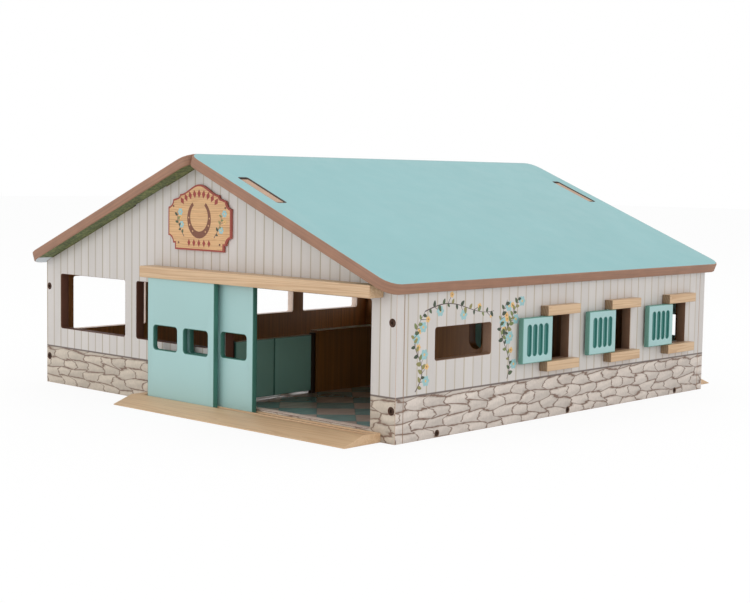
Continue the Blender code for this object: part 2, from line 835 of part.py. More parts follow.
def build_floor_screws(floor, left, right):
    """Three screws through each side wall into the edge of the floor."""
    sizes = (floor_screw_length, floor_screw_radius, floor_screw_head_radius)
    mesh = screw_pattern("floor_screw", *sizes)
    hole = hole_profile(*sizes)
    reach = half_depth - floor_screw_from_end
    for side_name, wall, face, turn in (("left", left, -half_width, -1), ("right", right, half_width, 1)):
        for number, along in enumerate((-reach, 0, reach), start=1):
            name = "screw_floor_%s_%d" % (side_name, number)
            drive_screw(name, mesh, hole, (face, along, floor_board / 2), (0, turn * math.pi / 2, 0),
                        (wall, floor))


def build_barn():
    """Build every piece of the barn."""
    floor = build_floor()
    front, rear = build_gable_walls()
    left = build_left_wall()
    right = build_right_wall()
    build_roof()
    build_rail_and_ramp(-1, "front")
    build_rail_and_ramp(1, "rear")
    build_doors()
    build_shutters()
    build_sign()
    build_partition()
    build_screens()
    build_gates()
    build_wall_screws(front, rear, left, right)
    build_floor_screws(floor, left, right)


build_barn()
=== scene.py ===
"""Finish of a toy horse barn: printed boards, painted doors, pine trim and a lawn under each roof panel."""

import json
from math import cos, pi, radians, sin, sqrt

import bpy
import numpy as np
from bpy.props import FloatProperty, FloatVectorProperty, PointerProperty
from mathutils import Matrix, Vector
from mathutils.geometry import delaunay_2d_cdt


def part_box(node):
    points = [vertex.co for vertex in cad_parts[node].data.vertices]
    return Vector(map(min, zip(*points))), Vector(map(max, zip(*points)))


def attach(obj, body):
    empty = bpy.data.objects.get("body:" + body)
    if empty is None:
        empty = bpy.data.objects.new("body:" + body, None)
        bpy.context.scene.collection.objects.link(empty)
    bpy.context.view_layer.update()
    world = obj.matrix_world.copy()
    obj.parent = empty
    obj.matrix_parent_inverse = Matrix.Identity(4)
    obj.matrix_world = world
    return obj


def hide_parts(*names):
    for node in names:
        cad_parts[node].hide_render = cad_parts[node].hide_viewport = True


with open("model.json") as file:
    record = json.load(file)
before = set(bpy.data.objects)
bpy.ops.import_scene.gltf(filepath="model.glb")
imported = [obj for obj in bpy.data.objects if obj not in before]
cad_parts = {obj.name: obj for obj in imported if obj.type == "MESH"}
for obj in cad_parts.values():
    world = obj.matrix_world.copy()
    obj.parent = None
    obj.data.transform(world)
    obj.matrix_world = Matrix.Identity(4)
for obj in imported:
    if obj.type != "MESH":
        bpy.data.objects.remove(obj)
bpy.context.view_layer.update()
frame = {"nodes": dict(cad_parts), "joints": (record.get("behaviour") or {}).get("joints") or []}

bl_info = {
    "name": "Toy barn finish",
    "version": (1, 0, 0),
    "blender": (4, 5, 0),
    "location": "View3D > Sidebar > Toy barn",
    "description": "Makes the printed, painted and pine pieces of a toy horse barn over its CAD frame",
    "category": "Object",
}

# Directions of a board's face: along it, up it and out of it
FRONT = np.array([[1, 0, 0], [0, 0, 1], [0, -1, 0]], float)
REAR = np.array([[-1, 0, 0], [0, 0, 1], [0, 1, 0]], float)
RIGHT = np.array([[0, 1, 0], [0, 0, 1], [1, 0, 0]], float)
LEFT = np.array([[0, -1, 0], [0, 0, 1], [-1, 0, 0]], float)
UP = np.array([[1, 0, 0], [0, 1, 0], [0, 0, 1]], float)
DOWN = np.array([[1, 0, 0], [0, -1, 0], [0, 0, -1]], float)

# Order of the finishes on a board
FACE, BACK, RIM, REVEAL, POCKET, END = range(6)

STONE_SCATTER = 0.62    # how far the middles of the printed stones stray, in stones
GABLE_STONE_SHADE = (0.89, 0.87, 0.80)    # painted shade: the gables' stones are darker and warmer than the side walls' to offset the stronger lamplight on the gables
GABLE_SEAM = 0.80
TILE_SHIFTS = (("ADD", 0.0803), ("SUBTRACT", -0.2145))    # where the floor's diagonals x + y and x - y start
POST_GAP = 0.0003    # between a gate post's shoulder and the floor board
SPIGOT = 0.625    # a gate post's foot, as a share of its radius

# Rings of turned ends as shares of the radius: how far out and how high
POST_CROWN = ((0.8, 0.0), (0.94, -0.06), (1.0, -0.2))
SCREW_HEAD = ((0.485, -0.36), (0.5, -0.09), (0.53, -0.03), (0.72, 0.0), (0.90, -0.03), (1.0, -0.14),
              (1.0, -0.62), (0.5, -0.64))

# Inks of the printed plants and of the sign's picture
BLUE_INK, GOLD_INK = (0.330, 0.560, 0.580), (0.800, 0.500, 0.180)
LEAF_INKS = ((0.075, 0.110, 0.048), (0.200, 0.235, 0.085), (0.045, 0.066, 0.036), (0.270, 0.250, 0.090))
STEM_INK, HEART_INK = (0.105, 0.070, 0.075), (0.300, 0.120, 0.060)
SHOE_INK, STUD_INK = (0.200, 0.070, 0.035), (0.150, 0.070, 0.035)
PLANT_FOOT = 0.0530    # height where the printed plants leave the stones

# Lights: name, place, what it faces, side of the square and power
LIGHTS = (("overhead_softbox", (-0.3, 0.5, 2.6), (0, 0, 0), 2.4, 11.5),
          ("front_softbox", (-0.8, -2.9, 0.75), (0, 0, 0.1), 1.2, 12.8),
          ("right_softbox", (3.0, -0.6, 1.15), (0, 0, 0.1), 1.6, 13.6))
FLOOR_REACH, FLOOR_LEVEL = 12, -0.0002
CAMERA_PLACE = (1.3235, -1.4391, 0.2812)
CAMERA_BEARING, CAMERA_TILT, CAMERA_ROLL = 0.7457, 0.0860, 0.0166
CAMERA_LENS = 70.4


def length(name, description, default):
    """A length in metres that a user may change."""
    return FloatProperty(name=name, description=description, default=default, min=0.0, precision=5,
                         subtype="DISTANCE", unit="LENGTH")


def colour(name, description, default):
    """A colour that a user may change, in linear values."""
    return FloatVectorProperty(name=name, description=description, default=default, size=3, min=0.0, max=1.0,
                               subtype="COLOR")


class BarnSizes(bpy.types.PropertyGroup):
    """Sizes of the barn's edges, prints and small pieces."""

    wall_ease: length("Wall edge", "Radius of the walls' edges", 0.0004)
    roof_ease: length("Roof edge", "Radius of the roof panels' edges", 0.0014)
    door_ease: length("Door edge", "Radius of the doors', shutters' and gates' edges", 0.0009)
    pine_ease: length("Pine edge", "Radius of the edges of rails, ramps and blocks", 0.0009)
    front_board: length("Front board", "Width of a printed board on the gables", 0.01498)
    front_shift: length("Front board shift", "Where the printed boards of the gables start", 0.004)
    side_board: length("Side board", "Width of a printed board on the side walls", 0.01568)
    side_shift: length("Side board shift", "Where the printed boards of the side walls start", 0.0057)
    corner_shift: length("Corner shift", "Where a printed board starts on the gables' ends", 0.0155)
    sill_rise: length("Sill rise", "Height of the doorways' sills over the floor board", 0.0034)
    board_line: length("Board line", "Width of the line between printed boards", 0.0011)
    stone_top: length("Stone height", "Height of the printed stone base", 0.0489)
    stone_line: length("Stone cap", "Width of the line over the stone base", 0.0021)
    mortar_line: length("Stone outline", "Width of the lines between printed stones", 0.0015)
    stone_width: length("Stone width", "Mean width of a printed stone", 0.0300)
    stone_height: length("Stone course", "Mean height of a printed stone", 0.01222)
    tile: length("Floor tile", "Side of a printed floor tile", 0.044)
    inner_board: length("Inner board", "Width of a printed board inside the barn", 0.030)
    ridge_gap: length("Ridge gap", "Half the gap between the roof panels", 0.0003)
    flute_depth: length("Flute depth", "Depth of the shutters' flutes", 0.0019)
    rail_groove: length("Rail groove", "Depth of the grooves in the rails", 0.008)
    ramp_groove: length("Ramp groove", "Depth of the grooves in the ramps", 0.0037)
    ramp_toe: length("Ramp toe", "Height of the ramps' lower edge", 0.0012)
    lawn_end: length("Lawn end", "How far from the middle the printed lawn reaches", 0.299)
    print_film: length("Print film", "Thickness of printed plants and of the sign's picture", 0.00012)
    sign_grain: length("Sign grain", "Distance between the lines of grain on the sign", 0.0027)
    sign_border: length("Sign border", "Width of the sign's painted border", 0.0017)


class BarnColours(bpy.types.PropertyGroup):
    """Colours of the barn's finishes."""

    teal: colour("Teal", "Paint of the doors and shutters", (0.385, 0.605, 0.595))
    roof_teal: colour("Roof teal", "Paint on top of the roof", (0.270, 0.520, 0.535))
    gate_teal: colour("Gate teal", "Paint of the stall gates", (0.250, 0.475, 0.405))
    # Painted shade: the doors' and gates' edges and window reveals are a much darker teal than their faces,
    # standing for the shade on them.
    shaded_edge_teal: colour("Teal edge", "Edges of the doors and gates", (0.048, 0.178, 0.140))
    # Painted shade: the shutters' edges are a darker teal than their faces, standing for the shade on the
    # edge faces.
    shutter_edge: colour("Shutter edge", "Edges of the shutters", (0.140, 0.320, 0.265))
    deep_teal: colour("Deep teal", "Paint in the shutters' flutes", (0.040, 0.200, 0.175))
    board: colour("Board", "Printed boards outside", (0.655, 0.615, 0.585))
    board_seam: colour("Board line", "Lines between the printed boards", (0.430, 0.340, 0.215))
    stone: colour("Stone", "Middle of the printed stones", (0.655, 0.580, 0.520))
    stone_shade: colour("Stone shade", "Rim of the printed stones", (0.475, 0.405, 0.350))
    mortar: colour("Stone outline", "Lines between the printed stones", (0.215, 0.135, 0.098))
    stone_cap: colour("Stone cap", "Line over the stone base", (0.120, 0.085, 0.072))
    brown_edge: colour("Brown edge", "Stained edges of the side walls", (0.370, 0.215, 0.140))
    roof_edge: colour("Roof edge", "Stained edges of the roof panels", (0.335, 0.175, 0.110))
    # Painted shade: the sides of the roof's slots are near-black, far darker than the panels' stained edges,
    # standing for the shade inside the slots.
    slot_shade: colour("Slot", "Stained sides of the roof's slots", (0.060, 0.040, 0.030))
    tab_edge: colour("Tab edge", "Edges of the gables and their tabs", (0.520, 0.335, 0.225))
    # Painted light: the rim is a lighter red than the border, so that the sign's sides, which lie in shade,
    # read as bright as the border.
    lit_sign_rim: colour("Sign rim", "Painted rim of the sign", (0.430, 0.105, 0.078))
    reveal: colour("Reveal", "Window edges of the right wall", (0.235, 0.132, 0.080))
    gable_reveal: colour("Gable reveal", "Doorway and window edges of the gables", (0.150, 0.062, 0.040))
    walnut: colour("Walnut", "Printed boards inside the walls", (0.420, 0.165, 0.048))
    dark_walnut: colour("Dark walnut", "Boards of partition and screens", (0.215, 0.085, 0.018))
    raw_edge: colour("Raw edge", "Unpainted board edges", (0.780, 0.600, 0.480))
    # Painted light: a lighter copy of the raw edge, for the left windows' reveals, the sills and the crests.
    lit_raw_edge: colour("Pale edge", "Edges of left windows, sills and crests", (0.975, 0.790, 0.680))
    pine: colour("Pine", "Pale wood between the rings", (0.680, 0.470, 0.285))
    pine_ring: colour("Pine ring", "Dark wood of the rings", (0.520, 0.310, 0.165))
    tile_teal: colour("Teal tile", "Teal tiles of the printed floor", (0.360, 0.560, 0.540))
    tile_brown: colour("Brown tile", "Brown tiles of the printed floor", (0.780, 0.630, 0.550))
    lawn: colour("Lawn", "Grass printed under the roof", (0.232, 0.272, 0.096))
    lawn_light: colour("Light lawn", "Sunny blades of grass", (0.325, 0.340, 0.125))
    lawn_dark: colour("Dark lawn", "Shade between the blades of grass", (0.050, 0.074, 0.026))
    underside: colour("Underside", "Strip of the roof's underside past the lawn", (0.700, 0.760, 0.800))
    sign: colour("Sign", "Ground of the sign", (0.720, 0.440, 0.215))
    sign_grain: colour("Sign grain", "Lines of grain on the sign", (0.470, 0.225, 0.090))
    sign_red: colour("Sign red", "Border and lozenges of the sign", (0.330, 0.048, 0.034))
    steel: colour("Steel", "Browned steel of screws and pins", (0.075, 0.042, 0.028))
    dowel: colour("Dowel", "Stained gate posts", (0.026, 0.014, 0.008))


def sizes():
    """The sizes in use."""
    return bpy.context.scene.barn_sizes


def colours():
    """The colours in use."""
    return bpy.context.scene.barn_colours


# Nodes of the finishes

def plug(node, sockets):
    """Give values or links to a node's sockets."""
    for key, value in sockets.items():
        socket = node.inputs[key]
        if isinstance(value, bpy.types.NodeSocket):
            node.id_data.links.new(value, socket)
        else:
            socket.default_value = (*value, 1.0) if socket.type == "RGBA" else value


def joined(kind, sockets, output=0, **settings):
    """Output of a new node, in the tree that its links come from."""
    tree = next(value.id_data for value in sockets.values() if isinstance(value, bpy.types.NodeSocket))
    node = tree.nodes.new(kind)
    for key, value in settings.items():
        setattr(node, key, value)
    plug(node, sockets)
    return node.outputs[output]


def calc(operation, first, second=0.0, third=0.0):
    """Result of a Math node."""
    return joined("ShaderNodeMath", {0: first, 1: second, 2: third}, operation=operation)


def vector(operation, first, second, output=0):
    """Result of a Vector Math node: a vector, or with output 1 a number."""
    return joined("ShaderNodeVectorMath", {0: first, 1: second}, output, operation=operation)


def blend(share, first, second):
    """Mix of two colours."""
    return joined("ShaderNodeMix", {0: share, 6: first, 7: second}, 2, data_type="RGBA")


def step(value, start, end, low=0.0, high=1.0):
    """Smooth step from low to high while the value goes from start to end."""
    sockets = {0: value, 1: start, 2: end, 3: low, 4: high}
    return joined("ShaderNodeMapRange", sockets, interpolation_type="SMOOTHSTEP")


def noise(place, scale, detail=3.0, rough=0.55, warp=0.0, output=0):
    """Noise from 0 to 1."""
    sockets = {"Vector": place, "Scale": scale, "Detail": detail, "Roughness": rough, "Distortion": warp}
    return joined("ShaderNodeTexNoise", sockets, output)


def tinted(base, value, spread):
    """A colour made lighter and darker by a value from 0 to 1."""
    change = step(value, 0.2, 0.8, 1 - spread, 1 + spread)
    return joined("ShaderNodeHueSaturation", {"Value": change, "Color": base})


def near_lines(value, pitch, start, width):
    """1 on lines of a width that repeat at a pitch, and 0 between them."""
    away = calc("PINGPONG", calc("SUBTRACT", value, start), pitch / 2)
    return step(away, width * 0.30, width * 0.75, 1.0, 0.0)


def odd(count):
    """1 for odd counts and 0 for even ones."""
    return calc("ABSOLUTE", calc("MODULO", count, 2.0))


def plank_tone(count):
    """Random value from 0 to 1 of each board, by its number."""
    return joined("ShaderNodeTexWhiteNoise", {"W": calc("FLOOR", count)}, "Value", noise_dimensions="1D")


class Finish:
    """A Principled material whose patterns are worked out from Object coordinates."""

    def __init__(self, name, coat=0.0, metallic=0.0):
        self.material = bpy.data.materials.new(name)
        self.material.use_nodes = True
        self.nodes = self.material.node_tree.nodes
        self.shader = self.nodes["Principled BSDF"]
        plug(self.shader, {"Metallic": metallic, "Coat Weight": coat, "Coat Roughness": 0.12})
        self.place = self.nodes.new("ShaderNodeTexCoord").outputs["Object"]
        self.x, self.y, self.z = joined("ShaderNodeSeparateXYZ", {0: self.place}).node.outputs

    def scaled(self, x, y, z):
        """Object coordinates scaled along each axis."""
        return joined("ShaderNodeMapping", {"Vector": self.place, "Scale": (x, y, z)})

    def done(self, base, rough=0.45, relief=None):
        """The material with its colour, a roughness and a fine relief.

        Roughness is a number or goes from low to high with a (value, low, high), and relief is
        (value, height, strength).
        """
        if isinstance(rough, tuple):
            value, low, high = rough
            rough = step(value, 0.2, 0.8, low, high)
        plug(self.shader, {"Base Color": base, "Roughness": rough})
        if relief:
            raised = joined("ShaderNodeBump", dict(zip(("Height", "Distance", "Strength"), relief)))
            plug(self.shader, {"Normal": raised})
        return self.material


# Finishes

def paint_finish(name, base, grain=0.02, coat=0.15, gloss=0.30):
    """Brushed enamel: one colour with faint clouding, a fine orange peel and a satin sheen."""
    look = Finish(name, coat)
    peel = noise(look.place, 900.0, 2.0)
    clouded = tinted(base, noise(look.place, 9.0, 2.0), grain)
    return look.done(tinted(clouded, peel, grain / 2), (noise(look.place, 40.0), gloss, gloss + 0.1),
                       (peel, 0.00004, 0.35))


def stone_colour(look, run, lights):
    """Printed fieldstones in staggered courses: cells around scattered middles, warped, with an even outline.

    A spot p is off an outline, the line halfway between the two nearest middles a and b, by so many metres:
    (b - a) . ((a + b) / 2 - p) over the length of (b - a) divided by a stone's width and height.
    """
    size, tint = sizes(), colours()
    per_metre = (1 / size.stone_width, 1 / size.stone_height, 1.0)
    course = calc("MULTIPLY", look.z, per_metre[1])
    odd_course = calc("PINGPONG", calc("SUBTRACT", course, STONE_SCATTER / 2), 1.0)
    along = calc("MULTIPLY_ADD", run, per_metre[0], step(odd_course, 0.22, 0.78, 0.0, 0.5))
    flat = joined("ShaderNodeCombineXYZ", {0: along, 1: course})
    bent = vector("SUBTRACT", noise(flat, 2.1, 2.0, output="Color"), (0.5, 0.5, 0.5))
    spot = vector("ADD", flat, vector("MULTIPLY", bent, (0.42, 0.34, 0.0)))
    cells = {"Vector": spot, "Scale": 1.0, "Randomness": STONE_SCATTER}
    near, farther = [joined("ShaderNodeTexVoronoi", cells, voronoi_dimensions="2D", feature=rank).node.outputs
                     for rank in ("F1", "F2")]
    first, second = near["Position"], farther["Position"]
    gap = vector("SUBTRACT", second, first)
    halfway = vector("MULTIPLY", vector("ADD", first, second), (0.5, 0.5, 0.5))
    over = vector("DOT_PRODUCT", gap, vector("SUBTRACT", halfway, spot), 1)
    rim = calc("DIVIDE", over, vector("LENGTH", vector("MULTIPLY", gap, per_metre), (0, 0, 0), 1))
    lean = vector("DOT_PRODUCT", vector("SUBTRACT", spot, first), (-0.35, 0.9, 0.0), 1)
    tone = joined("ShaderNodeSeparateColor", {0: near["Color"]})
    # The lights scale the stones' colours; below 1 they are painted shade, as on the gables.
    shade, middle = np.multiply(tint.stone_shade, lights), np.multiply(tint.stone, lights)
    stone = blend(step(rim, 0.0003, 0.0026), shade, middle)
    for value, spread in ((step(lean, -0.5, 0.5), 0.08), (tone, 0.05), (noise(look.place, 75.0, 2.0), 0.05),
                          (noise(look.place, 330.0, 5.0, 0.7), 0.09)):
        stone = tinted(stone, value, spread)
    width = size.mortar_line / 2
    return blend(step(rim, width * 0.5, width * 1.3), tint.mortar, stone)


def outside_finish(name, axis, pitch, start, stone_lights=(1.0, 1.0, 1.0), seam_light=1.0):
    """Print of the outer walls: pale boards, every other line stronger, a dark line and fieldstones."""
    size, tint = sizes(), colours()
    look = Finish(name, 0.1)
    run = getattr(look, axis)
    away = calc("SUBTRACT", run, start)
    count = calc("DIVIDE", away, pitch)
    fibre = noise(look.scaled(420.0, 420.0, 14.0), 1.0)
    boards = tinted(tinted(tint.board, plank_tone(count), 0.025), fibre, 0.022)
    gloom = step(calc("PINGPONG", away, pitch / 2), 0.0, pitch * 0.22, 0.10, 0.0)
    boards = blend(gloom, boards, tint.board_seam)
    strength = calc("MULTIPLY_ADD", odd(calc("ROUND", count)), 0.24, 0.66)
    seam = calc("MULTIPLY", near_lines(run, pitch, start, size.board_line), strength)
    boards = blend(seam, boards, np.multiply(tint.board_seam, seam_light))
    half_line = size.stone_line / 2
    above = step(look.z, size.stone_top - half_line / 4, size.stone_top + half_line / 4)
    printed = blend(above, stone_colour(look, run, stone_lights), boards)
    from_cap = calc("ABSOLUTE", calc("SUBTRACT", look.z, size.stone_top))
    printed = blend(step(from_cap, half_line * 0.6, half_line * 1.3, 0.9, 0.0), printed, tint.stone_cap)
    return look.done(printed, (noise(look.place, 60.0), 0.42, 0.52),
                       (noise(look.place, 700.0, 2.0), 0.00003, 0.3))


def inside_finish(name, axis, base):
    """Print of the inner faces: dark brown boards, upright, with streaked grain and fine dark seams."""
    size = sizes()
    look = Finish(name)
    run = getattr(look, axis)
    streak = noise(look.scaled(260.0, 260.0, 9.0), 1.0, 4.0, 0.65, 0.4)
    wood = tinted(tinted(base, plank_tone(calc("DIVIDE", run, size.inner_board)), 0.05), streak, 0.24)
    seam = calc("MULTIPLY", near_lines(run, size.inner_board, 0.0, size.board_line), 0.2)
    return look.done(blend(seam, wood, (0.02, 0.01, 0.006)), (streak, 0.38, 0.5), (streak, 0.00005, 0.3))


def fibre_finish(name, base, spread=0.10, shine=0.5):
    """Cut fibreboard: a stain that takes unevenly over fine fibres."""
    look = Finish(name)
    plug(look.shader, {"Specular IOR Level": shine})
    fibre = noise(look.place, 620.0, 4.0, 0.7)
    stained = tinted(tinted(base, fibre, spread), noise(look.place, 60.0), spread * 0.7)
    return look.done(stained, (fibre, 0.5, 0.68), (fibre, 0.00008, 0.4))


def roof_edge_finish(name, base):
    """Stained edge of a roof panel: fine layers that run along the slope, |x| sine + z cosine apart."""
    sine, _, cosine = roof_normal()
    look = Finish(name)
    rise = calc("MULTIPLY_ADD", calc("ABSOLUTE", look.x), sine, calc("MULTIPLY", look.z, cosine))
    spot = joined("ShaderNodeCombineXYZ", {0: rise, 1: look.x, 2: look.y})
    layer = noise(vector("MULTIPLY", spot, (520.0, 16.0, 16.0)), 1.0, 3.0, 0.6)
    stained = tinted(tinted(base, layer, 0.17), noise(look.place, 45.0), 0.08)
    return look.done(stained, (layer, 0.5, 0.66), (layer, 0.00008, 0.4))


def pine_finish(name, axis, light=1.0, ringed=0.65):
    """Pine: rings cut lengthwise as long wavering bands, with fine fibres and a few darker streaks."""
    tint = colours()
    look = Finish(name, 0.1)
    rings_scale, fibre_scale = [(along, across, across) if axis == "x" else (across, along, across)
                                for along, across in ((2.2, 75.0), (30.0, 900.0))]
    bands = noise(look.scaled(*rings_scale), 1.0, 2.0, 0.5, 0.6)
    rings = step(calc("FRACT", calc("MULTIPLY", bands, 9.0)), 0.30, 0.95, 0.0, ringed)
    fibre = noise(look.scaled(*fibre_scale), 1.0, 3.0, 0.6)
    wood = blend(rings, np.multiply(tint.pine, light), np.multiply(tint.pine_ring, light))
    wood = tinted(tinted(wood, fibre, 0.07), noise(look.place, 12.0), 0.05)
    return look.done(wood, (fibre, 0.42, 0.56), (fibre, 0.00006, 0.35))


def pine_end_finish(name):
    """End grain of pine: darker, with flat arcs of the rings."""
    tint = colours()
    look = Finish(name)
    waves = {"Vector": look.place, "Scale": 90.0, "Distortion": 2.5, "Detail": 2.0}
    rings = joined("ShaderNodeTexWave", waves, "Fac", wave_type="RINGS", rings_direction="Y")
    pores = noise(look.place, 900.0, 3.0, 0.7)
    wood = blend(rings, np.multiply(tint.pine, 0.46), np.multiply(tint.pine_ring, 0.50))
    return look.done(tinted(wood, pores, 0.14), 0.62, (pores, 0.0001, 0.4))


def lawn_finish(name):
    """Print of the pasture: short mottled blades in several greens, and a pale strip along the eave."""
    tint, end = colours(), sizes().lawn_end
    look = Finish(name)
    blades = noise(look.scaled(1.0, 0.55, 1.0), 380.0, 4.0, 0.7, 0.5)
    green = blend(step(blades, 0.36, 0.66), tint.lawn_dark, tint.lawn)
    tufts = step(noise(look.place, 105.0, 3.0, 0.6), 0.52, 0.72, 0.0, 0.55)
    green = tinted(blend(tufts, green, tint.lawn_light), noise(look.place, 22.0, 2.0), 0.18)
    beyond = step(calc("ABSOLUTE", look.x), end, end + 0.0008)
    return look.done(blend(beyond, green, tint.underside), 0.6, (blades, 0.0001, 0.3))


def tiles_finish(name):
    """Print of the floor: worn teal and brown tiles laid cornerwise, with a fine joint between them."""
    tint = colours()
    look = Finish(name, 0.35)
    cells, joints = [], []
    for operation, shift in TILE_SHIFTS:
        along = calc("MULTIPLY", calc(operation, look.x, look.y), sqrt(0.5))
        count = calc("DIVIDE", calc("ADD", along, shift), sizes().tile)
        cells.append(calc("FLOOR", count))
        joints.append(near_lines(count, 1.0, 0.0, 0.035))
    wear = noise(look.scaled(1.0, 0.25, 1.0), 90.0, 4.0, 0.65)
    tile = tinted(blend(odd(calc("ADD", *cells)), tint.tile_teal, tint.tile_brown), wear, 0.12)
    joint = calc("MULTIPLY", calc("MAXIMUM", *joints), 0.15)
    return look.done(blend(joint, tile, (0.07, 0.06, 0.055)), (wear, 0.16, 0.26))


def sign_finish(name):
    """Print of the sign: warm tan with thin wavering level lines of grain."""
    tint, pitch = colours(), sizes().sign_grain
    look = Finish(name, 0.1)
    level = calc("MULTIPLY_ADD", noise(look.scaled(14.0, 14.0, 90.0), 1.0), pitch * 3, look.z)
    faded = step(noise(look.scaled(40.0, 40.0, 300.0), 1.0, 2.0), 0.36, 0.62, 0.10, 0.62)
    bands = noise(look.scaled(9.0, 9.0, 260.0), 1.0, 2.0)
    lines = calc("MULTIPLY", near_lines(level, pitch, 0.0, pitch * 0.34), faded)
    return look.done(tinted(blend(lines, tint.sign, tint.sign_grain), bands, 0.10), (bands, 0.42, 0.5))


def steel_finish(name):
    """Browned steel: dark metal with a patchy oil finish."""
    look = Finish(name, metallic=0.75)
    patch = noise(look.place, 420.0)
    return look.done(tinted(colours().steel, patch, 0.3), (patch, 0.35, 0.55), (patch, 0.00005, 0.3))


def print_finish(name):
    """Printed ink: the colour that each drawn shape carries, with a little paper grain."""
    look = Finish(name)
    ink = look.nodes.new("ShaderNodeAttribute")
    ink.attribute_name = "ink"
    return look.done(tinted(ink.outputs["Color"], noise(look.place, 500.0), 0.10))


def finishes_for(*named):
    """Materials of a board in the order face, back, rim, reveal, pocket, end, with the last one repeated."""
    row = [bpy.data.materials[name] for name in named]
    return row + [row[-1]] * (END + 1 - len(row))


class BARN_OT_finishes(bpy.types.Operator):
    """Every finish of the barn"""
    bl_idname = "barn.finishes"
    bl_label = "Finishes"

    def execute(self, context):
        size, tint = sizes(), colours()
        # The gables' stones carry painted shade.
        outside_finish("siding_front", "x", size.front_board, size.front_shift, GABLE_STONE_SHADE, GABLE_SEAM)
        outside_finish("siding_side", "y", size.side_board, size.side_shift)
        outside_finish("siding_corner", "y", size.side_board, size.corner_shift)
        inside_finish("walnut_front", "x", tint.walnut)
        inside_finish("walnut_side", "y", tint.walnut)
        inside_finish("partition_walnut", "y", tint.dark_walnut)
        inside_finish("screen_walnut", "x", tint.dark_walnut)
        paint_finish("teal_enamel", tint.teal)
        paint_finish("roof_enamel", tint.roof_teal, 0.02, 0.0, 0.46)
        paint_finish("gate_enamel", tint.gate_teal, 0.03, 0.0, 0.50)
        # Dark teal of the edges: painted shade.
        paint_finish("shaded_teal_edge_enamel", tint.shaded_edge_teal, 0.05, 0.0, 0.50)
        # Darker teal of the shutters' edges: painted shade.
        paint_finish("shutter_edge_enamel", tint.shutter_edge, 0.05, 0.0, 0.50)
        paint_finish("deep_teal_enamel", tint.deep_teal)
        roof_edge_finish("roof_edge_stain", tint.roof_edge)
        # The slots' near-black sides are painted shade.
        for name in ("brown_edge", "slot_shade", "tab_edge", "lit_sign_rim"):
            # The sign's rim red is lightened as painted light.
            fibre_finish(name, getattr(tint, name))
        fibre_finish("reveal_paint", tint.reveal)
        fibre_finish("gable_reveal_paint", tint.gable_reveal, shine=0.2)
        fibre_finish("raw_edge", tint.raw_edge, 0.14)
        # Lighter copy of the raw edge: painted light.
        fibre_finish("lit_raw_edge", tint.lit_raw_edge, 0.14)
        fibre_finish("dowel_stain", tint.dowel, shine=0.15)
        pine_finish("pine_across", "x")
        pine_finish("pine_lengthwise", "y")
        pine_finish("pine_ramp", "x", 1.03, 0.40)
        pine_end_finish("pine_end")
        lawn_finish("lawn_print")
        tiles_finish("tile_print")
        sign_finish("sign_wood")
        steel_finish("browned_steel")
        print_finish("plant_print")
        return {"FINISHED"}


# Surfaces

def read(items, key, width=3, kind=float):
    """One property of a mesh's items, as rows of an array."""
    values = np.empty(len(items) * width, kind)
    items.foreach_get(key, values)
    return values.reshape(-1, width)


def area_of(loop):
    """Area inside a loop, positive when it runs counter-clockwise: half the sum of cross products."""
    after = np.roll(loop, -1, axis=0)
    return 0.5 * float(np.sum(loop[:, 0] * after[:, 1] - loop[:, 1] * after[:, 0]))


def without_straights(loop):
    """A loop without the points that lie on a straight stretch."""
    back = loop - np.roll(loop, 1, axis=0)
    ahead = np.roll(loop, -1, axis=0) - loop
    turn = back[:, 0] * ahead[:, 1] - back[:, 1] * ahead[:, 0]
    size = np.linalg.norm(back, axis=1) * np.linalg.norm(ahead, axis=1)
    return loop[np.abs(turn) > 0.01 * np.maximum(size, 1e-12)]


def face_loops(node, axes, level):
    """Closed loops around a CAD node's flat face, widest first.

    Edges of the face's triangles that only one triangle has are chained.
    """
    mesh = frame["nodes"][node].data
    mesh.calc_loop_triangles()
    local = np.round(read(mesh.vertices, "co") @ axes.T, 6)
    unique, index = np.unique(local, axis=0, return_inverse=True)
    triangles = index.reshape(-1)[read(mesh.loop_triangles, "vertices", kind=int)]
    flat = triangles[(np.abs(unique[triangles, 2] - level) < 3e-5).all(axis=1)]
    start, end = flat.ravel(), np.roll(flat, -1, axis=1).ravel()
    alone = ~np.isin(start * len(unique) + end, end * len(unique) + start)
    follow = dict(zip(start[alone].tolist(), end[alone].tolist()))
    loops = []
    while follow:
        chain = [next(iter(follow))]
        spot = follow.pop(chain[0])
        while spot != chain[0]:
            chain.append(spot)
            spot = follow.pop(spot)
        loops.append(without_straights(unique[chain, :2]))
    return sorted(loops, key=lambda loop: -abs(area_of(loop)))


def outward(loop):
    """Mitred directions out of the material along a loop.

    Each is the mean of both edges' right normals over its squared length.
    """
    edge = np.roll(loop, -1, axis=0) - loop
    edge /= np.maximum(np.linalg.norm(edge, axis=1, keepdims=True), 1e-12)
    normal = np.stack((edge[:, 1], -edge[:, 0]), axis=1)
    mean = (normal + np.roll(normal, 1, axis=0)) / 2
    return mean / np.maximum(np.sum(mean * mean, axis=1, keepdims=True), 0.25)


def inside(points, loop):
    """Which points lie inside a loop: an odd number of its edges cross the ray to the right."""
    low, high = loop, np.roll(loop, -1, axis=0)
    x, y = points[:, 0, None], points[:, 1, None]
    crosses = (low[None, :, 1] > y) != (high[None, :, 1] > y)
    rise = np.where(high[:, 1] == low[:, 1], 1e-12, high[:, 1] - low[:, 1])
    edge_x = low[None, :, 0] + (y - low[None, :, 1]) * (high[:, 0] - low[:, 0]) / rise
    return (crosses & (x < edge_x)).sum(axis=1) % 2 == 1


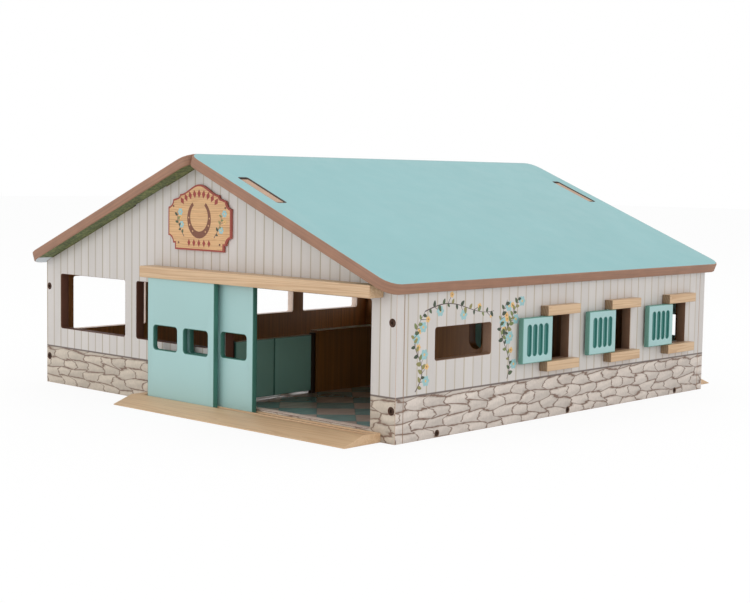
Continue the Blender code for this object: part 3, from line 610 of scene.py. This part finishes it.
def filled(loops, creases=()):
    """Triangles between a face's outer loop and its holes, as rows of indices into all loop points."""
    points = np.concatenate(loops)
    starts = np.cumsum([0] + [len(loop) for loop in loops[:-1]])
    edges = [list(crease) for crease in creases]
    for base, loop in zip(starts, loops):
        ring = base + np.arange(len(loop))
        edges += np.stack((ring, np.roll(ring, -1)), axis=1).tolist()
    made = delaunay_2d_cdt([Vector(point) for point in points.tolist()], edges, [], 0, 1e-9)
    source = np.array([group[0] for group in made[3]])
    triangles = source[np.array(made[2])]
    middle = points[triangles].mean(axis=1)
    keep = inside(middle, loops[0])
    for hole in loops[1:]:
        keep &= ~inside(middle, hole)
    triangles = triangles[keep]
    a, b, c = points[triangles].transpose(1, 2, 0)
    turn = (b[0] - a[0]) * (c[1] - a[1]) - (b[1] - a[1]) * (c[0] - a[0])
    triangles[turn < 0] = triangles[turn < 0][:, ::-1]
    return triangles[np.abs(turn) > 1e-14]


def strip(base, count, rows):
    """Quads between neighbouring closed rows of points."""
    ring = np.arange(count)
    after = (ring + 1) % count
    row = (base + np.arange(rows - 1) * count)[:, None]
    quads = np.stack((row + ring, row + count + ring, row + count + after, row + after), axis=-1)
    return quads.reshape(-1, 4)


def placed(name, data):
    """New object in the scene."""
    made = bpy.data.objects.new(name, data)
    bpy.context.scene.collection.objects.link(made)
    return made


def surface(name, points, groups, materials):
    """Mesh object from points and groups of (faces, number of their finish, shaded smooth or not)."""
    mesh = bpy.data.meshes.new(name)
    mesh.from_pydata(points.tolist(), [], [face for group in groups for face in group[0].tolist()])
    for material in materials:
        mesh.materials.append(material)
    counts = [len(group[0]) for group in groups]
    for column, key, kind in ((1, "material_index", np.int32), (2, "use_smooth", bool)):
        mesh.polygons.foreach_set(key, np.repeat([group[column] for group in groups], counts).astype(kind))
    mesh.set_sharp_from_angle(angle=radians(38))
    mesh.update()
    return placed(name, mesh)


def fitted(made, body, nodes):
    """Let a piece ride on its body and stand for its nodes."""
    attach(made, body)
    if nodes:
        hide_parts(*nodes)
    return made


class Board:
    """Board with a rim carried along every loop of its face: a straight side between quarter-round edges."""

    def __init__(self, axes, low, high, ease, steps=3):
        self.axes, self.low, self.high, self.ease, self.steps = axes, low, high, ease, steps
        self.points, self.groups, self.count = [], [], 0

    def rows(self, loop, profile):
        """Add the loop once for each (inset, height) of a profile, and the quads between them."""
        out = outward(loop)
        base = self.count
        for inset, height in profile:
            self.points.append(np.column_stack((loop - out * inset, np.full(len(loop), height))))
        self.count += len(loop) * len(profile)
        return base, strip(base, len(loop), len(profile))

    def arc(self, down):
        """Quarter round as (inset, height) pairs: inset ease (1 - sin t), drop ease (1 - cos t)."""
        turn = np.linspace(0, pi / 2, self.steps + 1)
        inset = self.ease * (1 - np.sin(turn))
        drop = self.ease * (1 - np.cos(turn))
        if down:
            return list(zip(inset, self.high - drop))
        return list(zip(inset, self.low + drop))[::-1]

    def build(self, outline, holes=(), pockets=(), depth=0.0, back_pockets=(), creases=()):
        """Rims, caps and blind pockets of the board."""
        through = self.arc(True) + self.arc(False)
        top_rows, back_rows = [], []
        for number, loop in enumerate([outline, *holes]):
            base, quads = self.rows(loop, through)
            self.groups.append((quads, REVEAL if number else RIM, True))
            top_rows.append((base, loop))
            back_rows.append((base + (len(through) - 1) * len(loop), loop))
        for loops, rows, turned in ((pockets, top_rows, False), (back_pockets, back_rows, True)):
            arc = self.arc(False)[::-1] if turned else self.arc(True)
            floor = self.low + depth if turned else self.high - depth
            order = -1 if turned else 1
            for loop in loops:
                base, quads = self.rows(loop, arc + [(0.0, floor)])
                flat = base + len(arc) * len(loop) + filled([loop])
                self.groups += [(quads[:, ::order], POCKET, True), (flat[:, ::order], POCKET, False)]
                rows.append((base, loop))
        for rows, kind, order in ((top_rows, FACE, 1), (back_rows, BACK, -1)):
            inset = [loop - outward(loop) * self.ease for _, loop in rows]
            index = np.concatenate([base + np.arange(len(loop)) for base, loop in rows])
            self.groups.append((index[filled(inset, creases)][:, ::order], kind, False))
        return self

    def world(self):
        """Points in the barn's frame: along A, up B and out C."""
        return np.concatenate(self.points) @ self.axes

    def piece(self, name, body, materials, nodes, slot, points=None):
        """Turn the board into an object that rides on a body and stands for CAD nodes."""
        points = self.world() if points is None else points
        return fitted(surface(name, points, self.groups, materials), body, nodes)


def reach(node, axes):
    """Lowest and highest place of a node along the direction out of a board's face."""
    spots = np.array(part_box(node)) @ axes[2]
    return float(spots.min()), float(spots.max())


def node_board(name, node, axes, ease, body, materials, slot, pocketed=False, depth=0.0, both=False):
    """Board read from a CAD node's face; its holes are blind pockets of a depth where it is pocketed."""
    low, high = reach(node, axes)
    outline, *holes = face_loops(node, axes, high)
    pockets = holes if pocketed else []
    board = Board(axes, low, high, ease)
    board.build(outline, () if pocketed else holes, pockets, depth, pockets if both else ())
    return board.piece(name, body, finishes_for(*materials), [node], slot)


def repaint(made, kind, test):
    """Give another finish to the faces whose middle passes a test."""
    faces = made.data.polygons
    kinds = read(faces, "material_index", 1, np.int32).ravel()
    kinds[test(read(faces, "center"))] = kind
    faces.foreach_set("material_index", kinds)


def spun(name, profile, origin, axis, sides, material, body, node, hexed=0):
    """Turned piece: rings of (radius, height) about an axis through an origin, closed at both poles.

    The first rings may be hexagons, radius cos 30 / cos(angle from the nearest side's middle) / 0.93.
    """
    radius, height = np.array(profile).T[:, :, None]
    turn = np.linspace(0, 2 * pi, sides, endpoint=False)
    sextant = (turn + pi / 6) % (pi / 3) - pi / 6
    hexagon = cos(pi / 6) / np.cos(sextant) / 0.93
    square = (np.arange(len(profile)) < hexed)[:, None]
    radius = radius * np.where(square, hexagon, 1.0)
    rings = np.stack((radius * np.cos(turn), radius * np.sin(turn), height + 0 * radius), axis=-1)
    poles = [[0, 0, profile[0][1]], [0, 0, profile[-1][1]]]
    ring = np.arange(sides)
    after = (ring + 1) % sides
    count = len(profile) * sides
    last = count - sides
    caps = [np.stack((np.full(sides, count), ring, after), axis=1),
            np.stack((np.full(sides, count + 1), last + after, last + ring), axis=1)]
    turned = np.array(Vector((0, 0, 1)).rotation_difference(Vector(axis)).to_matrix())
    points = np.concatenate((rings.reshape(-1, 3), poles)) @ turned.T + np.array(origin)
    groups = [(faces, 0, True) for faces in (strip(0, sides, len(profile)), *caps)]
    return fitted(surface(name, points, groups, [bpy.data.materials[material]]), body, [node])


# Pieces

class BARN_OT_walls(bpy.types.Operator):
    """Four walls with printed faces, dark inner faces and painted reveals; the left windows' reveals and the
    doorway sills are raw edges painted lighter, as painted light
    """
    bl_idname = "barn.walls"
    bl_label = "Walls"

    def execute(self, context):
        ease = sizes().wall_ease
        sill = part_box("base_floor")[1].z + sizes().sill_rise
        for node, axes in (("front_wall", FRONT), ("rear_wall", REAR)):
            wall = node_board(node + "_board", node, axes, ease, "barn",
                              ("siding_front", "walnut_front", "tab_edge", "gable_reveal_paint", "lit_raw_edge",
                               "siding_corner"), "printed_board")
            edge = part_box(node)[1].x - ease / 4
            repaint(wall, END, lambda middle: np.abs(middle[:, 0]) > edge)
            low, high = reach(node, axes)
            repaint(wall, POCKET, lambda middle: (np.abs(middle[:, 2] - sill) < ease)
                    & (np.abs(middle @ axes[2] - (low + high) / 2) < (high - low) / 2 - ease))
        # The left wall's reveals take the lighter raw edge as painted light.
        for node, axes, reveal in (("left_wall", LEFT, "lit_raw_edge"), ("right_wall", RIGHT, "reveal_paint")):
            node_board(node + "_board", node, axes, ease, "barn",
                       ("siding_side", "walnut_side", "brown_edge", reveal), "printed_board")
        return {"FINISHED"}


def roof_normal():
    """Direction out of the right roof panel, along which it lifts."""
    return next(joint["axis"] for joint in frame["joints"] if joint["child"] == "roof_right")


class BARN_OT_roof(bpy.types.Operator):
    """Roof panels: enamel above, lawn below, stained round edges and an upright ridge cut"""
    bl_idname = "barn.roof"
    bl_label = "Roof panels"

    def execute(self, context):
        size = sizes()
        normal = np.array(roof_normal())
        sine, _, cosine = normal
        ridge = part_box("roof_right")[1].z + size.ridge_gap * sine / cosine
        level = ridge * cosine
        thickness = float(np.ptp(read(frame["nodes"]["roof_right"].data.vertices, "co") @ normal))
        for node, side in (("roof_right", 1), ("roof_left", -1)):
            axes = np.array([[side * cosine, 0, -sine], [0, side, 0], [side * sine, 0, cosine]])
            outline, *slots = face_loops(node, axes, level)
            board = Board(axes, level - thickness, level, size.roof_ease, 4).build(outline, slots)
            points = board.world()
            short = np.maximum(0.0, size.ridge_gap - side * points[:, 0]) / cosine
            # The slots' sides take the near-black painted shade.
            looks = finishes_for("roof_enamel", "lawn_print", "roof_edge_stain", "slot_shade")
            board.piece(node + "_panel", node, looks, [node], "teal_paint", points + short[:, None] * axes[0])
        return {"FINISHED"}


class BARN_OT_floor(bpy.types.Operator):
    """Floor board with its tiles printed above and its underside raw"""
    bl_idname = "barn.floor"
    bl_label = "Floor board"

    def execute(self, context):
        node_board("floor_board", "base_floor", UP, sizes().wall_ease, "barn", ("tile_print", "raw_edge"),
                   "floor_print")
        return {"FINISHED"}


class BARN_OT_doors(bpy.types.Operator):
    """Sliding doors, enamelled all over, their edges and window reveals a darker teal as painted shade"""
    bl_idname = "barn.doors"
    bl_label = "Sliding doors"

    def execute(self, context):
        for end, axes in (("front", FRONT), ("rear", REAR)):
            for track in ("outer", "inner"):
                node = "%s_door_%s" % (end, track)
                node_board(node + "_panel", node, axes, sizes().door_ease, node,
                           ("teal_enamel", "teal_enamel", "shaded_teal_edge_enamel"), "teal_paint")
        return {"FINISHED"}


class BARN_OT_rails(bpy.types.Operator):
    """Pine rails with two blind grooves below"""
    bl_idname = "barn.rails"
    bl_label = "Door rails"

    def execute(self, context):
        for node in ("front_door_rail", "rear_door_rail"):
            node_board(node + "_bar", node, DOWN, sizes().pine_ease, "barn", ("pine_across",), "pine", True,
                       sizes().rail_groove)
        return {"FINISHED"}


class BARN_OT_ramps(bpy.types.Operator):
    """Pine ramps: a level landing with two blind grooves, and a slope whose height falls evenly to the toe"""
    bl_idname = "barn.ramps"
    bl_label = "Ramps"

    def execute(self, context):
        size = sizes()
        for node, side in (("front_ramp", -1), ("rear_ramp", 1)):
            low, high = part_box(node)
            landing, *grooves = face_loops(node, UP, high.z)
            break_line = float((landing[:, 1] * side).max()) * side
            toe = low.y if side < 0 else high.y
            outline = np.array([[low.x, low.y], [high.x, low.y], [high.x, break_line], [high.x, high.y],
                                [low.x, high.y], [low.x, break_line]])
            board = Board(UP, low.z, high.z, size.pine_ease)
            board.build(outline, (), grooves, size.ramp_groove, (), [(2, 5)])
            points = board.world()
            past = np.clip((points[:, 1] - break_line) / (toe - break_line), 0.0, 1.0)
            points[:, 2] *= 1 + past * (size.ramp_toe / high.z - 1)
            board.piece(node + "_board", "barn", finishes_for("pine_ramp"), [node], "pine", points)
        return {"FINISHED"}


class BARN_OT_shutters(bpy.types.Operator):
    """Shutters with four routed flutes on each face"""
    bl_idname = "barn.shutters"
    bl_label = "Shutters"

    def execute(self, context):
        for number in (1, 2, 3):
            node = "shutter_%d" % number
            # The shutters' edges and reveals take the darker teal of painted shade.
            face, edge = "teal_enamel", "shutter_edge_enamel"
            node_board(node + "_leaf", node, RIGHT, sizes().door_ease, node,
                       (face, face, edge, edge, "deep_teal_enamel"), "teal_paint", True,
                       sizes().flute_depth, True)
        return {"FINISHED"}


def upright(node):
    """Radius, foot, top and place of an upright round node."""
    low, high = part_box(node)
    return (high.x - low.x) / 2, low.z, high.z, ((low.x + high.x) / 2, (low.y + high.y) / 2, 0.0)


class BARN_OT_blocks(bpy.types.Operator):
    """Pine blocks over and under each shuttered window, and the pins between them"""
    bl_idname = "barn.blocks"
    bl_label = "Shutter blocks"

    def execute(self, context):
        ease = sizes().pine_ease
        for number in (1, 2, 3):
            for part in ("head", "sill"):
                node = "shutter_%s_%d" % (part, number)
                low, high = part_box(node)
                board = Board(RIGHT, *reach(node, RIGHT), ease)
                board.build(np.array([[low.y, low.z], [high.y, low.z], [high.y, high.z], [low.y, high.z]]))
                looks = finishes_for(*["pine_lengthwise"] * END, "pine_end")
                made = board.piece(node + "_block", "barn", looks, [node], "pine")
                start, end = low.y + ease / 2, high.y - ease / 2
                repaint(made, END, lambda middle: (middle[:, 1] < start) | (middle[:, 1] > end))
            pin = "shutter_pin_%d" % number
            radius, foot, top, place = upright(pin)
            bevel = radius / 4
            inner = radius - bevel
            profile = [(inner, top), (radius, top - bevel), (radius, foot + bevel), (inner, foot)]
            spun(pin + "_rod", profile, place, (0, 0, 1), 24, "browned_steel", "barn", pin)
        return {"FINISHED"}


class BARN_OT_interior(bpy.types.Operator):
    """Partition and screens, dark printed, with raw upper edges painted lighter as painted light"""
    bl_idname = "barn.interior"
    bl_label = "Partition and screens"

    def execute(self, context):
        ease = sizes().wall_ease
        nodes = [("aisle_partition", RIGHT, "partition_walnut")]
        nodes += [("stall_screen_%d" % number, FRONT, "screen_walnut") for number in (1, 2, 3)]
        for node, axes, wood in nodes:
            # The crests take the lighter raw edge as painted light.
            looks = (*[wood] * END, "lit_raw_edge")
            made = node_board(node + "_board", node, axes, ease, "barn", looks, "walnut_print")
            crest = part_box(node)[1].z - 2 * ease
            repaint(made, END, lambda middle: middle[:, 2] > crest)
        return {"FINISHED"}


class BARN_OT_gates(bpy.types.Operator):
    """Enamelled gates with a raw upper edge, and their turned posts"""
    bl_idname = "barn.gates"
    bl_label = "Stall gates"

    def execute(self, context):
        ease = sizes().door_ease
        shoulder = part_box("base_floor")[1].z + POST_GAP
        # The gates' edges take the dark teal of painted shade.
        edge = "shaded_teal_edge_enamel"
        for number in (1, 2, 3, 4):
            gate, post, body = "stall_gate_%d" % number, "gate_post_%d" % number, "gate_%d" % number
            made = node_board(gate + "_leaf", gate, RIGHT, ease, body,
                              ("gate_enamel", "gate_enamel", edge, edge, edge, "raw_edge"), "teal_paint")
            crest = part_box(gate)[1].z - ease / 2
            repaint(made, END, lambda middle: middle[:, 2] > crest)
            radius, foot, top, place = upright(post)
            profile = [(radius * out, top + radius * up) for out, up in POST_CROWN]
            profile += [(radius, shoulder), (radius * SPIGOT, shoulder), (radius * SPIGOT, foot)]
            spun(post + "_dowel", profile, place, (0, 0, 1), 32, "dowel_stain", body, post)
        return {"FINISHED"}


def socket_screw(node, axis):
    """Browned screw with a domed head; its socket's rings are hexagons and the others circles."""
    low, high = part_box(node)
    main = int(np.argmax(np.abs(axis)))
    across = (main + 1) % 3
    radius, total = (high[across] - low[across]) / 2, high[main] - low[main]
    origin = np.array([(start + end) / 2 for start, end in zip(low, high)])
    origin[main] = high[main] if axis[main] > 0 else low[main]
    profile = [(radius * out, radius * up) for out, up in SCREW_HEAD]
    profile += [(radius * SCREW_HEAD[-1][0], -total * 0.9), (radius * 0.08, -total)]
    spun(node + "_bolt", profile, origin, axis, 48, "browned_steel", "barn", node, hexed=3)


class BARN_OT_screws(bpy.types.Operator):
    """Wall and floor screws"""
    bl_idname = "barn.screws"
    bl_label = "Screws"

    def execute(self, context):
        for end, axis in (("front", (0, -1, 0)), ("rear", (0, 1, 0))):
            for side in ("left", "right"):
                for level in ("low", "high"):
                    socket_screw("screw_%s_%s_%s" % (end, side, level), axis)
        for side, axis in (("left", (-1, 0, 0)), ("right", (1, 0, 0))):
            for number in (1, 2, 3):
                socket_screw("screw_floor_%s_%d" % (side, number), axis)
        return {"FINISHED"}


# Printed pictures

def wound(loop, way):
    """A loop that runs counter-clockwise for a way of 1 and clockwise for -1."""
    return loop if area_of(loop) * way > 0 else loop[::-1]


def film_piece(name, axes, level, shapes):
    """Printed shapes (outer loop, holes, ink) as thin flat boards on a face, each over those before it."""
    thick = sizes().print_film
    points, groups, inks, count = [], [], [], 0
    for number, (outer, holes, ink) in enumerate(shapes):
        top = level + thick * (0.4 + 0.9 * (number + 1) / len(shapes))
        board = Board(axes, level + thick * 0.1, top, 0.0, 0)
        board.build(wound(outer, 1), [wound(hole, -1) for hole in holes])
        points.append(board.world())
        groups += [(faces + count, 0, False) for faces, _, _ in board.groups]
        inks.append(np.tile((*ink, 1.0), (board.count, 1)))
        count += board.count
    made = surface(name, np.concatenate(points), groups, [bpy.data.materials["plant_print"]])
    attribute = made.data.attributes.new("ink", "FLOAT_COLOR", "POINT")
    attribute.data.foreach_set("color", np.concatenate(inks).astype(np.float32).ravel())
    return fitted(made, "barn", [])


def turned_about(centre, along, across, angle):
    """Points at distances along and across a direction from a centre."""
    ahead = np.array([cos(angle), sin(angle)])
    return centre + np.outer(along, ahead) + np.outer(across, (-ahead[1], ahead[0]))


def petal_ring(centre, radius, petals, steps=30):
    """Outline of a flower: radius r (0.68 + 0.32 |cos(n t / 2)|) about its centre."""
    turn = np.linspace(0, 2 * pi, steps, endpoint=False)
    away = radius * (0.68 + 0.32 * np.abs(np.cos(petals * turn / 2)))
    return np.column_stack((centre[0] + away * np.cos(turn), centre[1] + away * np.sin(turn)))


def leaf(centre, size, angle, steps=14):
    """Pointed leaf: half widths 0.30 s sin(t) (1 + 0.35 cos t) along a midrib of length s, turned."""
    turn = np.linspace(0, 2 * pi, steps, endpoint=False)
    along = size * (0.5 - 0.5 * np.cos(turn))
    return turned_about(centre, along, 0.30 * size * np.sin(turn) * (1 + 0.35 * np.cos(turn)), angle)


def lozenge(centre, size, angle, steps=16):
    """Small ornament with drawn-in sides: 0.62 s |cos t| cos t across and s |sin t| sin t along, turned."""
    turn = np.linspace(0, 2 * pi, steps, endpoint=False)
    across = 0.62 * size * np.abs(np.cos(turn)) * np.cos(turn)
    return turned_about(centre, across, size * np.abs(np.sin(turn)) * np.sin(turn), angle)


def stem(path, width):
    """Ribbon along a path, thinner towards its end: offsets of half the width to both sides."""
    along = np.gradient(path, axis=0)
    along /= np.maximum(np.linalg.norm(along, axis=1, keepdims=True), 1e-12)
    side = np.stack((-along[:, 1], along[:, 0]), axis=1)
    half = width / 2 * np.linspace(1.0, 0.35, len(path))[:, None]
    return np.concatenate((path + side * half, (path - side * half)[::-1]))


def climber(path, seed, bloom_every, scale=1.0):
    """A climbing plant along a path: stem, leaves in turn to both sides, and blooms of two kinds."""
    rng = np.random.default_rng(seed)
    shapes = [(stem(path, 0.0013 * scale), (), STEM_INK)]
    along = np.gradient(path, axis=0)
    angles = np.arctan2(along[:, 1], along[:, 0])
    for number, index in enumerate(range(4, len(path) - 2, 4)):
        side = 1 if number % 2 else -1
        spot, angle = path[index], angles[index] + side * (0.9 + 0.4 * rng.random())
        blade = leaf(spot, scale * (0.0050 + 0.003 * rng.random()), angle)
        shapes.append((blade, (), LEAF_INKS[int(rng.integers(len(LEAF_INKS)))]))
        if number % bloom_every == 1:
            away = scale * (0.0085 + 0.003 * rng.random())
            centre = spot + away * np.array([cos(angle - 1.9 * side), sin(angle - 1.9 * side)])
            big = number % (2 * bloom_every) == 1
            outer = petal_ring(centre, scale * (0.0062 if big else 0.0036), 6 if big else 5)
            heart = petal_ring(centre, scale * (0.0017 if big else 0.0011), 5, 12)
            shapes += [(stem(np.linspace(spot, centre, 6), 0.0008 * scale), (), STEM_INK),
                       (outer, (heart,), BLUE_INK if big else GOLD_INK),
                       (heart, (), GOLD_INK if big else HEART_INK)]
    return shapes


def clear_of(shapes, openings, margin=0.001):
    """Printed shapes without those that come nearer to an opening than a margin."""
    kept = []
    for shape in shapes:
        low, high = shape[0].min(axis=0) - margin, shape[0].max(axis=0) + margin
        if not any((low < hole.max(axis=0)).all() and (high > hole.min(axis=0)).all() for hole in openings):
            kept.append(shape)
    return kept


class BARN_OT_climbers(bpy.types.Operator):
    """Two climbing plants printed on the right wall; one of them arches over the plain window"""
    bl_idname = "barn.climbers"
    bl_label = "Climbing plants"

    def execute(self, context):
        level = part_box("right_wall")[1].x
        openings = face_loops("right_wall", RIGHT, level)[1:]
        t = np.linspace(0, 1, 72)
        first = np.column_stack((-0.2790 + 0.0085 * np.sin(7.0 * t) + 0.008 * t, PLANT_FOOT + 0.0850 * t))
        t = np.linspace(0, 1, 64)
        over = np.column_stack((first[-1, 0] + 0.1180 * t, first[-1, 1] + 0.0065 * np.sin(5.2 * t)))
        second = np.column_stack((-0.1260 + 0.0090 * np.sin(6.0 * t + 0.6), PLANT_FOOT + 0.0900 * t))
        fork = np.column_stack((second[34, 0] + 0.0300 * t, second[34, 1] + 0.0440 * t ** 1.4))
        for place, shapes in (("window", climber(first, 4, 2) + climber(over, 9, 3)),
                              ("shutter", climber(second, 12, 2) + climber(fork, 21, 3))):
            film_piece(place + "_climber_print", RIGHT, level, clear_of(shapes, openings))
        return {"FINISHED"}


def horseshoe(centre, radius, width, tall, steps=40):
    """Horseshoe open upwards: an arc of 290 degrees whose band narrows to its ends."""
    turn = np.linspace(radians(125), radians(415), steps)
    band = width * (0.75 + 0.25 * np.cos((turn - turn.mean()) * 1.1))
    ring = np.stack((np.cos(turn), np.sin(turn)), axis=1) * np.array([1.0, tall])
    outer, inner = (radius + band / 2)[:, None], (radius - band / 2)[:, None]
    return centre + np.concatenate((ring * outer, (ring * inner)[::-1]))


class BARN_OT_sign(bpy.types.Operator):
    """Sign board with a red border, a horseshoe with nail holes, two leafy sprigs and four corner studs"""
    bl_idname = "barn.sign"
    bl_label = "Sign"

    def execute(self, context):
        size, red = sizes(), tuple(colours().sign_red)
        # The sign's sides take the lightened red of painted light.
        node_board("sign_board_panel", "sign_board", FRONT, size.wall_ease, "barn",
                   ("sign_wood", "raw_edge", "lit_sign_rim"), "sign_print")
        level = reach("sign_board", FRONT)[1]
        outline = face_loops("sign_board", FRONT, level)[0]
        edge = size.wall_ease * 1.1
        inner, outer = [outline - outward(outline) * inset for inset in (edge + size.sign_border, edge)]
        low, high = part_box("sign_board")
        middle = np.array([(low.x + high.x) / 2, (low.z + high.z) / 2])
        shoe_centre, shoe_radius, shoe_width, shoe_tall = middle - (0.0, 0.0005), 0.0185, 0.0075, 1.08
        nails = [petal_ring(shoe_centre + shoe_radius * np.array([cos(angle), shoe_tall * sin(angle)]),
                            0.0012, 4, 10) for angle in np.radians([205, 232, 308, 335, 180, 0])]
        shapes = [(outer, (inner,), red),
                  (horseshoe(shoe_centre, shoe_radius, shoe_width, shoe_tall), nails, SHOE_INK)]
        t = np.linspace(0, 1, 30)
        for side in (-1, 1):
            path = middle + np.column_stack((side * (0.0270 + 0.0125 * np.sin(1.9 * t)), 0.0300 * t - 0.0230))
            shapes += climber(path, 30 + side, 2, 0.72)
        for angle in np.radians(np.linspace(54, 126, 9)):
            spot = middle + np.array([0.0520 * cos(angle), 0.0460 * sin(angle) - 0.0180])
            shapes.append((lozenge(spot, 0.0050, angle - pi / 2), (), red))
        for across in np.linspace(-0.0180, 0.0180, 5):
            shapes.append((lozenge((middle[0] + across, low.z + 0.0090), 0.0044, 0.0), (), red))
        for across, up in ((0.0370, low.z + 0.0085), (0.0465, high.z - 0.0265)):
            for side in (-1, 1):
                shapes.append((petal_ring((middle[0] + side * across, up), 0.0015, 4, 12), (), STUD_INK))
        film_piece("sign_picture_print", FRONT, level, shapes)
        return {"FINISHED"}


# Stage

def white_to_camera(lit, kind, strength, rays, share):
    """Mix a lit shader with a share of plain white where chosen rays see it."""
    nodes = lit.id_data.nodes
    path = nodes.new("ShaderNodeLightPath").outputs
    seen = path[rays[0]]
    for ray in rays[1:]:
        seen = calc("MAXIMUM", seen, path[ray])
    white = nodes.new(kind)
    plug(white, {0: (1, 1, 1), 1: strength})
    sockets = {0: calc("MULTIPLY", seen, share), 1: lit.outputs[0], 2: white.outputs[0]}
    both = joined("ShaderNodeMixShader", sockets)
    plug(next(node for node in nodes if node.type.startswith("OUTPUT")), {"Surface": both})


class BARN_OT_stage(bpy.types.Operator):
    """Pale floor, white surroundings, soft lights and the camera"""
    bl_idname = "barn.stage"
    bl_label = "Stage"

    def execute(self, context):
        scene = bpy.context.scene
        square = ((-1, -1), (1, -1), (1, 1), (-1, 1))
        corners = [(x * FLOOR_REACH, y * FLOOR_REACH, FLOOR_LEVEL) for x, y in square]
        mesh = bpy.data.meshes.new("studio_floor")
        mesh.from_pydata(corners, [], [(0, 1, 2, 3)])
        material = bpy.data.materials.new("studio_white")
        material.use_nodes = True
        shader = material.node_tree.nodes["Principled BSDF"]
        plug(shader, {"Base Color": (0.86, 0.86, 0.86), "Roughness": 0.9, "Specular IOR Level": 0.1})
        white_to_camera(shader, "ShaderNodeEmission", 1.03, ["Is Camera Ray"], 0.86)
        mesh.materials.append(material)
        placed("studio_floor", mesh)
        scene.world = bpy.data.worlds.new("studio")
        scene.world.use_nodes = True
        sky = scene.world.node_tree.nodes["Background"]
        plug(sky, {0: (1, 1, 1), 1: 0.76})
        rays = ["Is Camera Ray", "Is Glossy Ray", "Is Transmission Ray"]
        white_to_camera(sky, "ShaderNodeBackground", 1.0, rays, 1.0)
        for name, place, target, width, power in LIGHTS:
            light = bpy.data.lights.new(name, "AREA")
            light.shape, light.size, light.energy = "SQUARE", width, power
            aim = (Vector(target) - Vector(place)).to_track_quat("-Z", "Y").to_matrix().to_4x4()
            placed(name, light).matrix_world = Matrix.Translation(place) @ aim
        view = bpy.data.cameras.new("photo_camera")
        view.lens, view.sensor_width, view.clip_start, view.clip_end = CAMERA_LENS, 36.0, 0.05, 60.0
        scene.camera = placed("photo_camera", view)
        turn = (Matrix.Rotation(CAMERA_BEARING, 4, "Z") @ Matrix.Rotation(pi / 2 - CAMERA_TILT, 4, "X")
                @ Matrix.Rotation(CAMERA_ROLL, 4, "Z"))
        scene.camera.matrix_world = Matrix.Translation(CAMERA_PLACE) @ turn
        scene.view_settings.view_transform = "Standard"
        return {"FINISHED"}


OPERATORS = (BARN_OT_finishes, BARN_OT_walls, BARN_OT_roof, BARN_OT_floor, BARN_OT_doors, BARN_OT_rails,
             BARN_OT_ramps, BARN_OT_shutters, BARN_OT_blocks, BARN_OT_interior, BARN_OT_gates, BARN_OT_screws,
             BARN_OT_sign, BARN_OT_climbers, BARN_OT_stage)


class BARN_PT_panel(bpy.types.Panel):
    """Sizes, colours and steps of the toy barn"""
    bl_idname = "BARN_PT_panel"
    bl_label = "Toy barn"
    bl_space_type = "VIEW_3D"
    bl_region_type = "UI"
    bl_category = "Toy barn"

    def draw(self, context):
        for kind in OPERATORS:
            self.layout.operator(kind.bl_idname)
        for group in (context.scene.barn_sizes, context.scene.barn_colours):
            for name in group.__annotations__:
                self.layout.prop(group, name)


CLASSES = (BarnSizes, BarnColours, *OPERATORS, BARN_PT_panel)


def register():
    """Register the classes and their settings."""
    for kind in CLASSES:
        bpy.utils.register_class(kind)
    bpy.types.Scene.barn_sizes = PointerProperty(type=BarnSizes)
    bpy.types.Scene.barn_colours = PointerProperty(type=BarnColours)


def unregister():
    """Take the classes and their settings out again."""
    del bpy.types.Scene.barn_colours
    del bpy.types.Scene.barn_sizes
    for kind in reversed(CLASSES):
        bpy.utils.unregister_class(kind)


def main():
    """Make the whole barn."""
    register()
    for kind in OPERATORS:
        group, name = kind.bl_idname.split(".")
        getattr(getattr(bpy.ops, group), name)()
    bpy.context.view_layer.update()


if __name__ == "__main__":
    main()
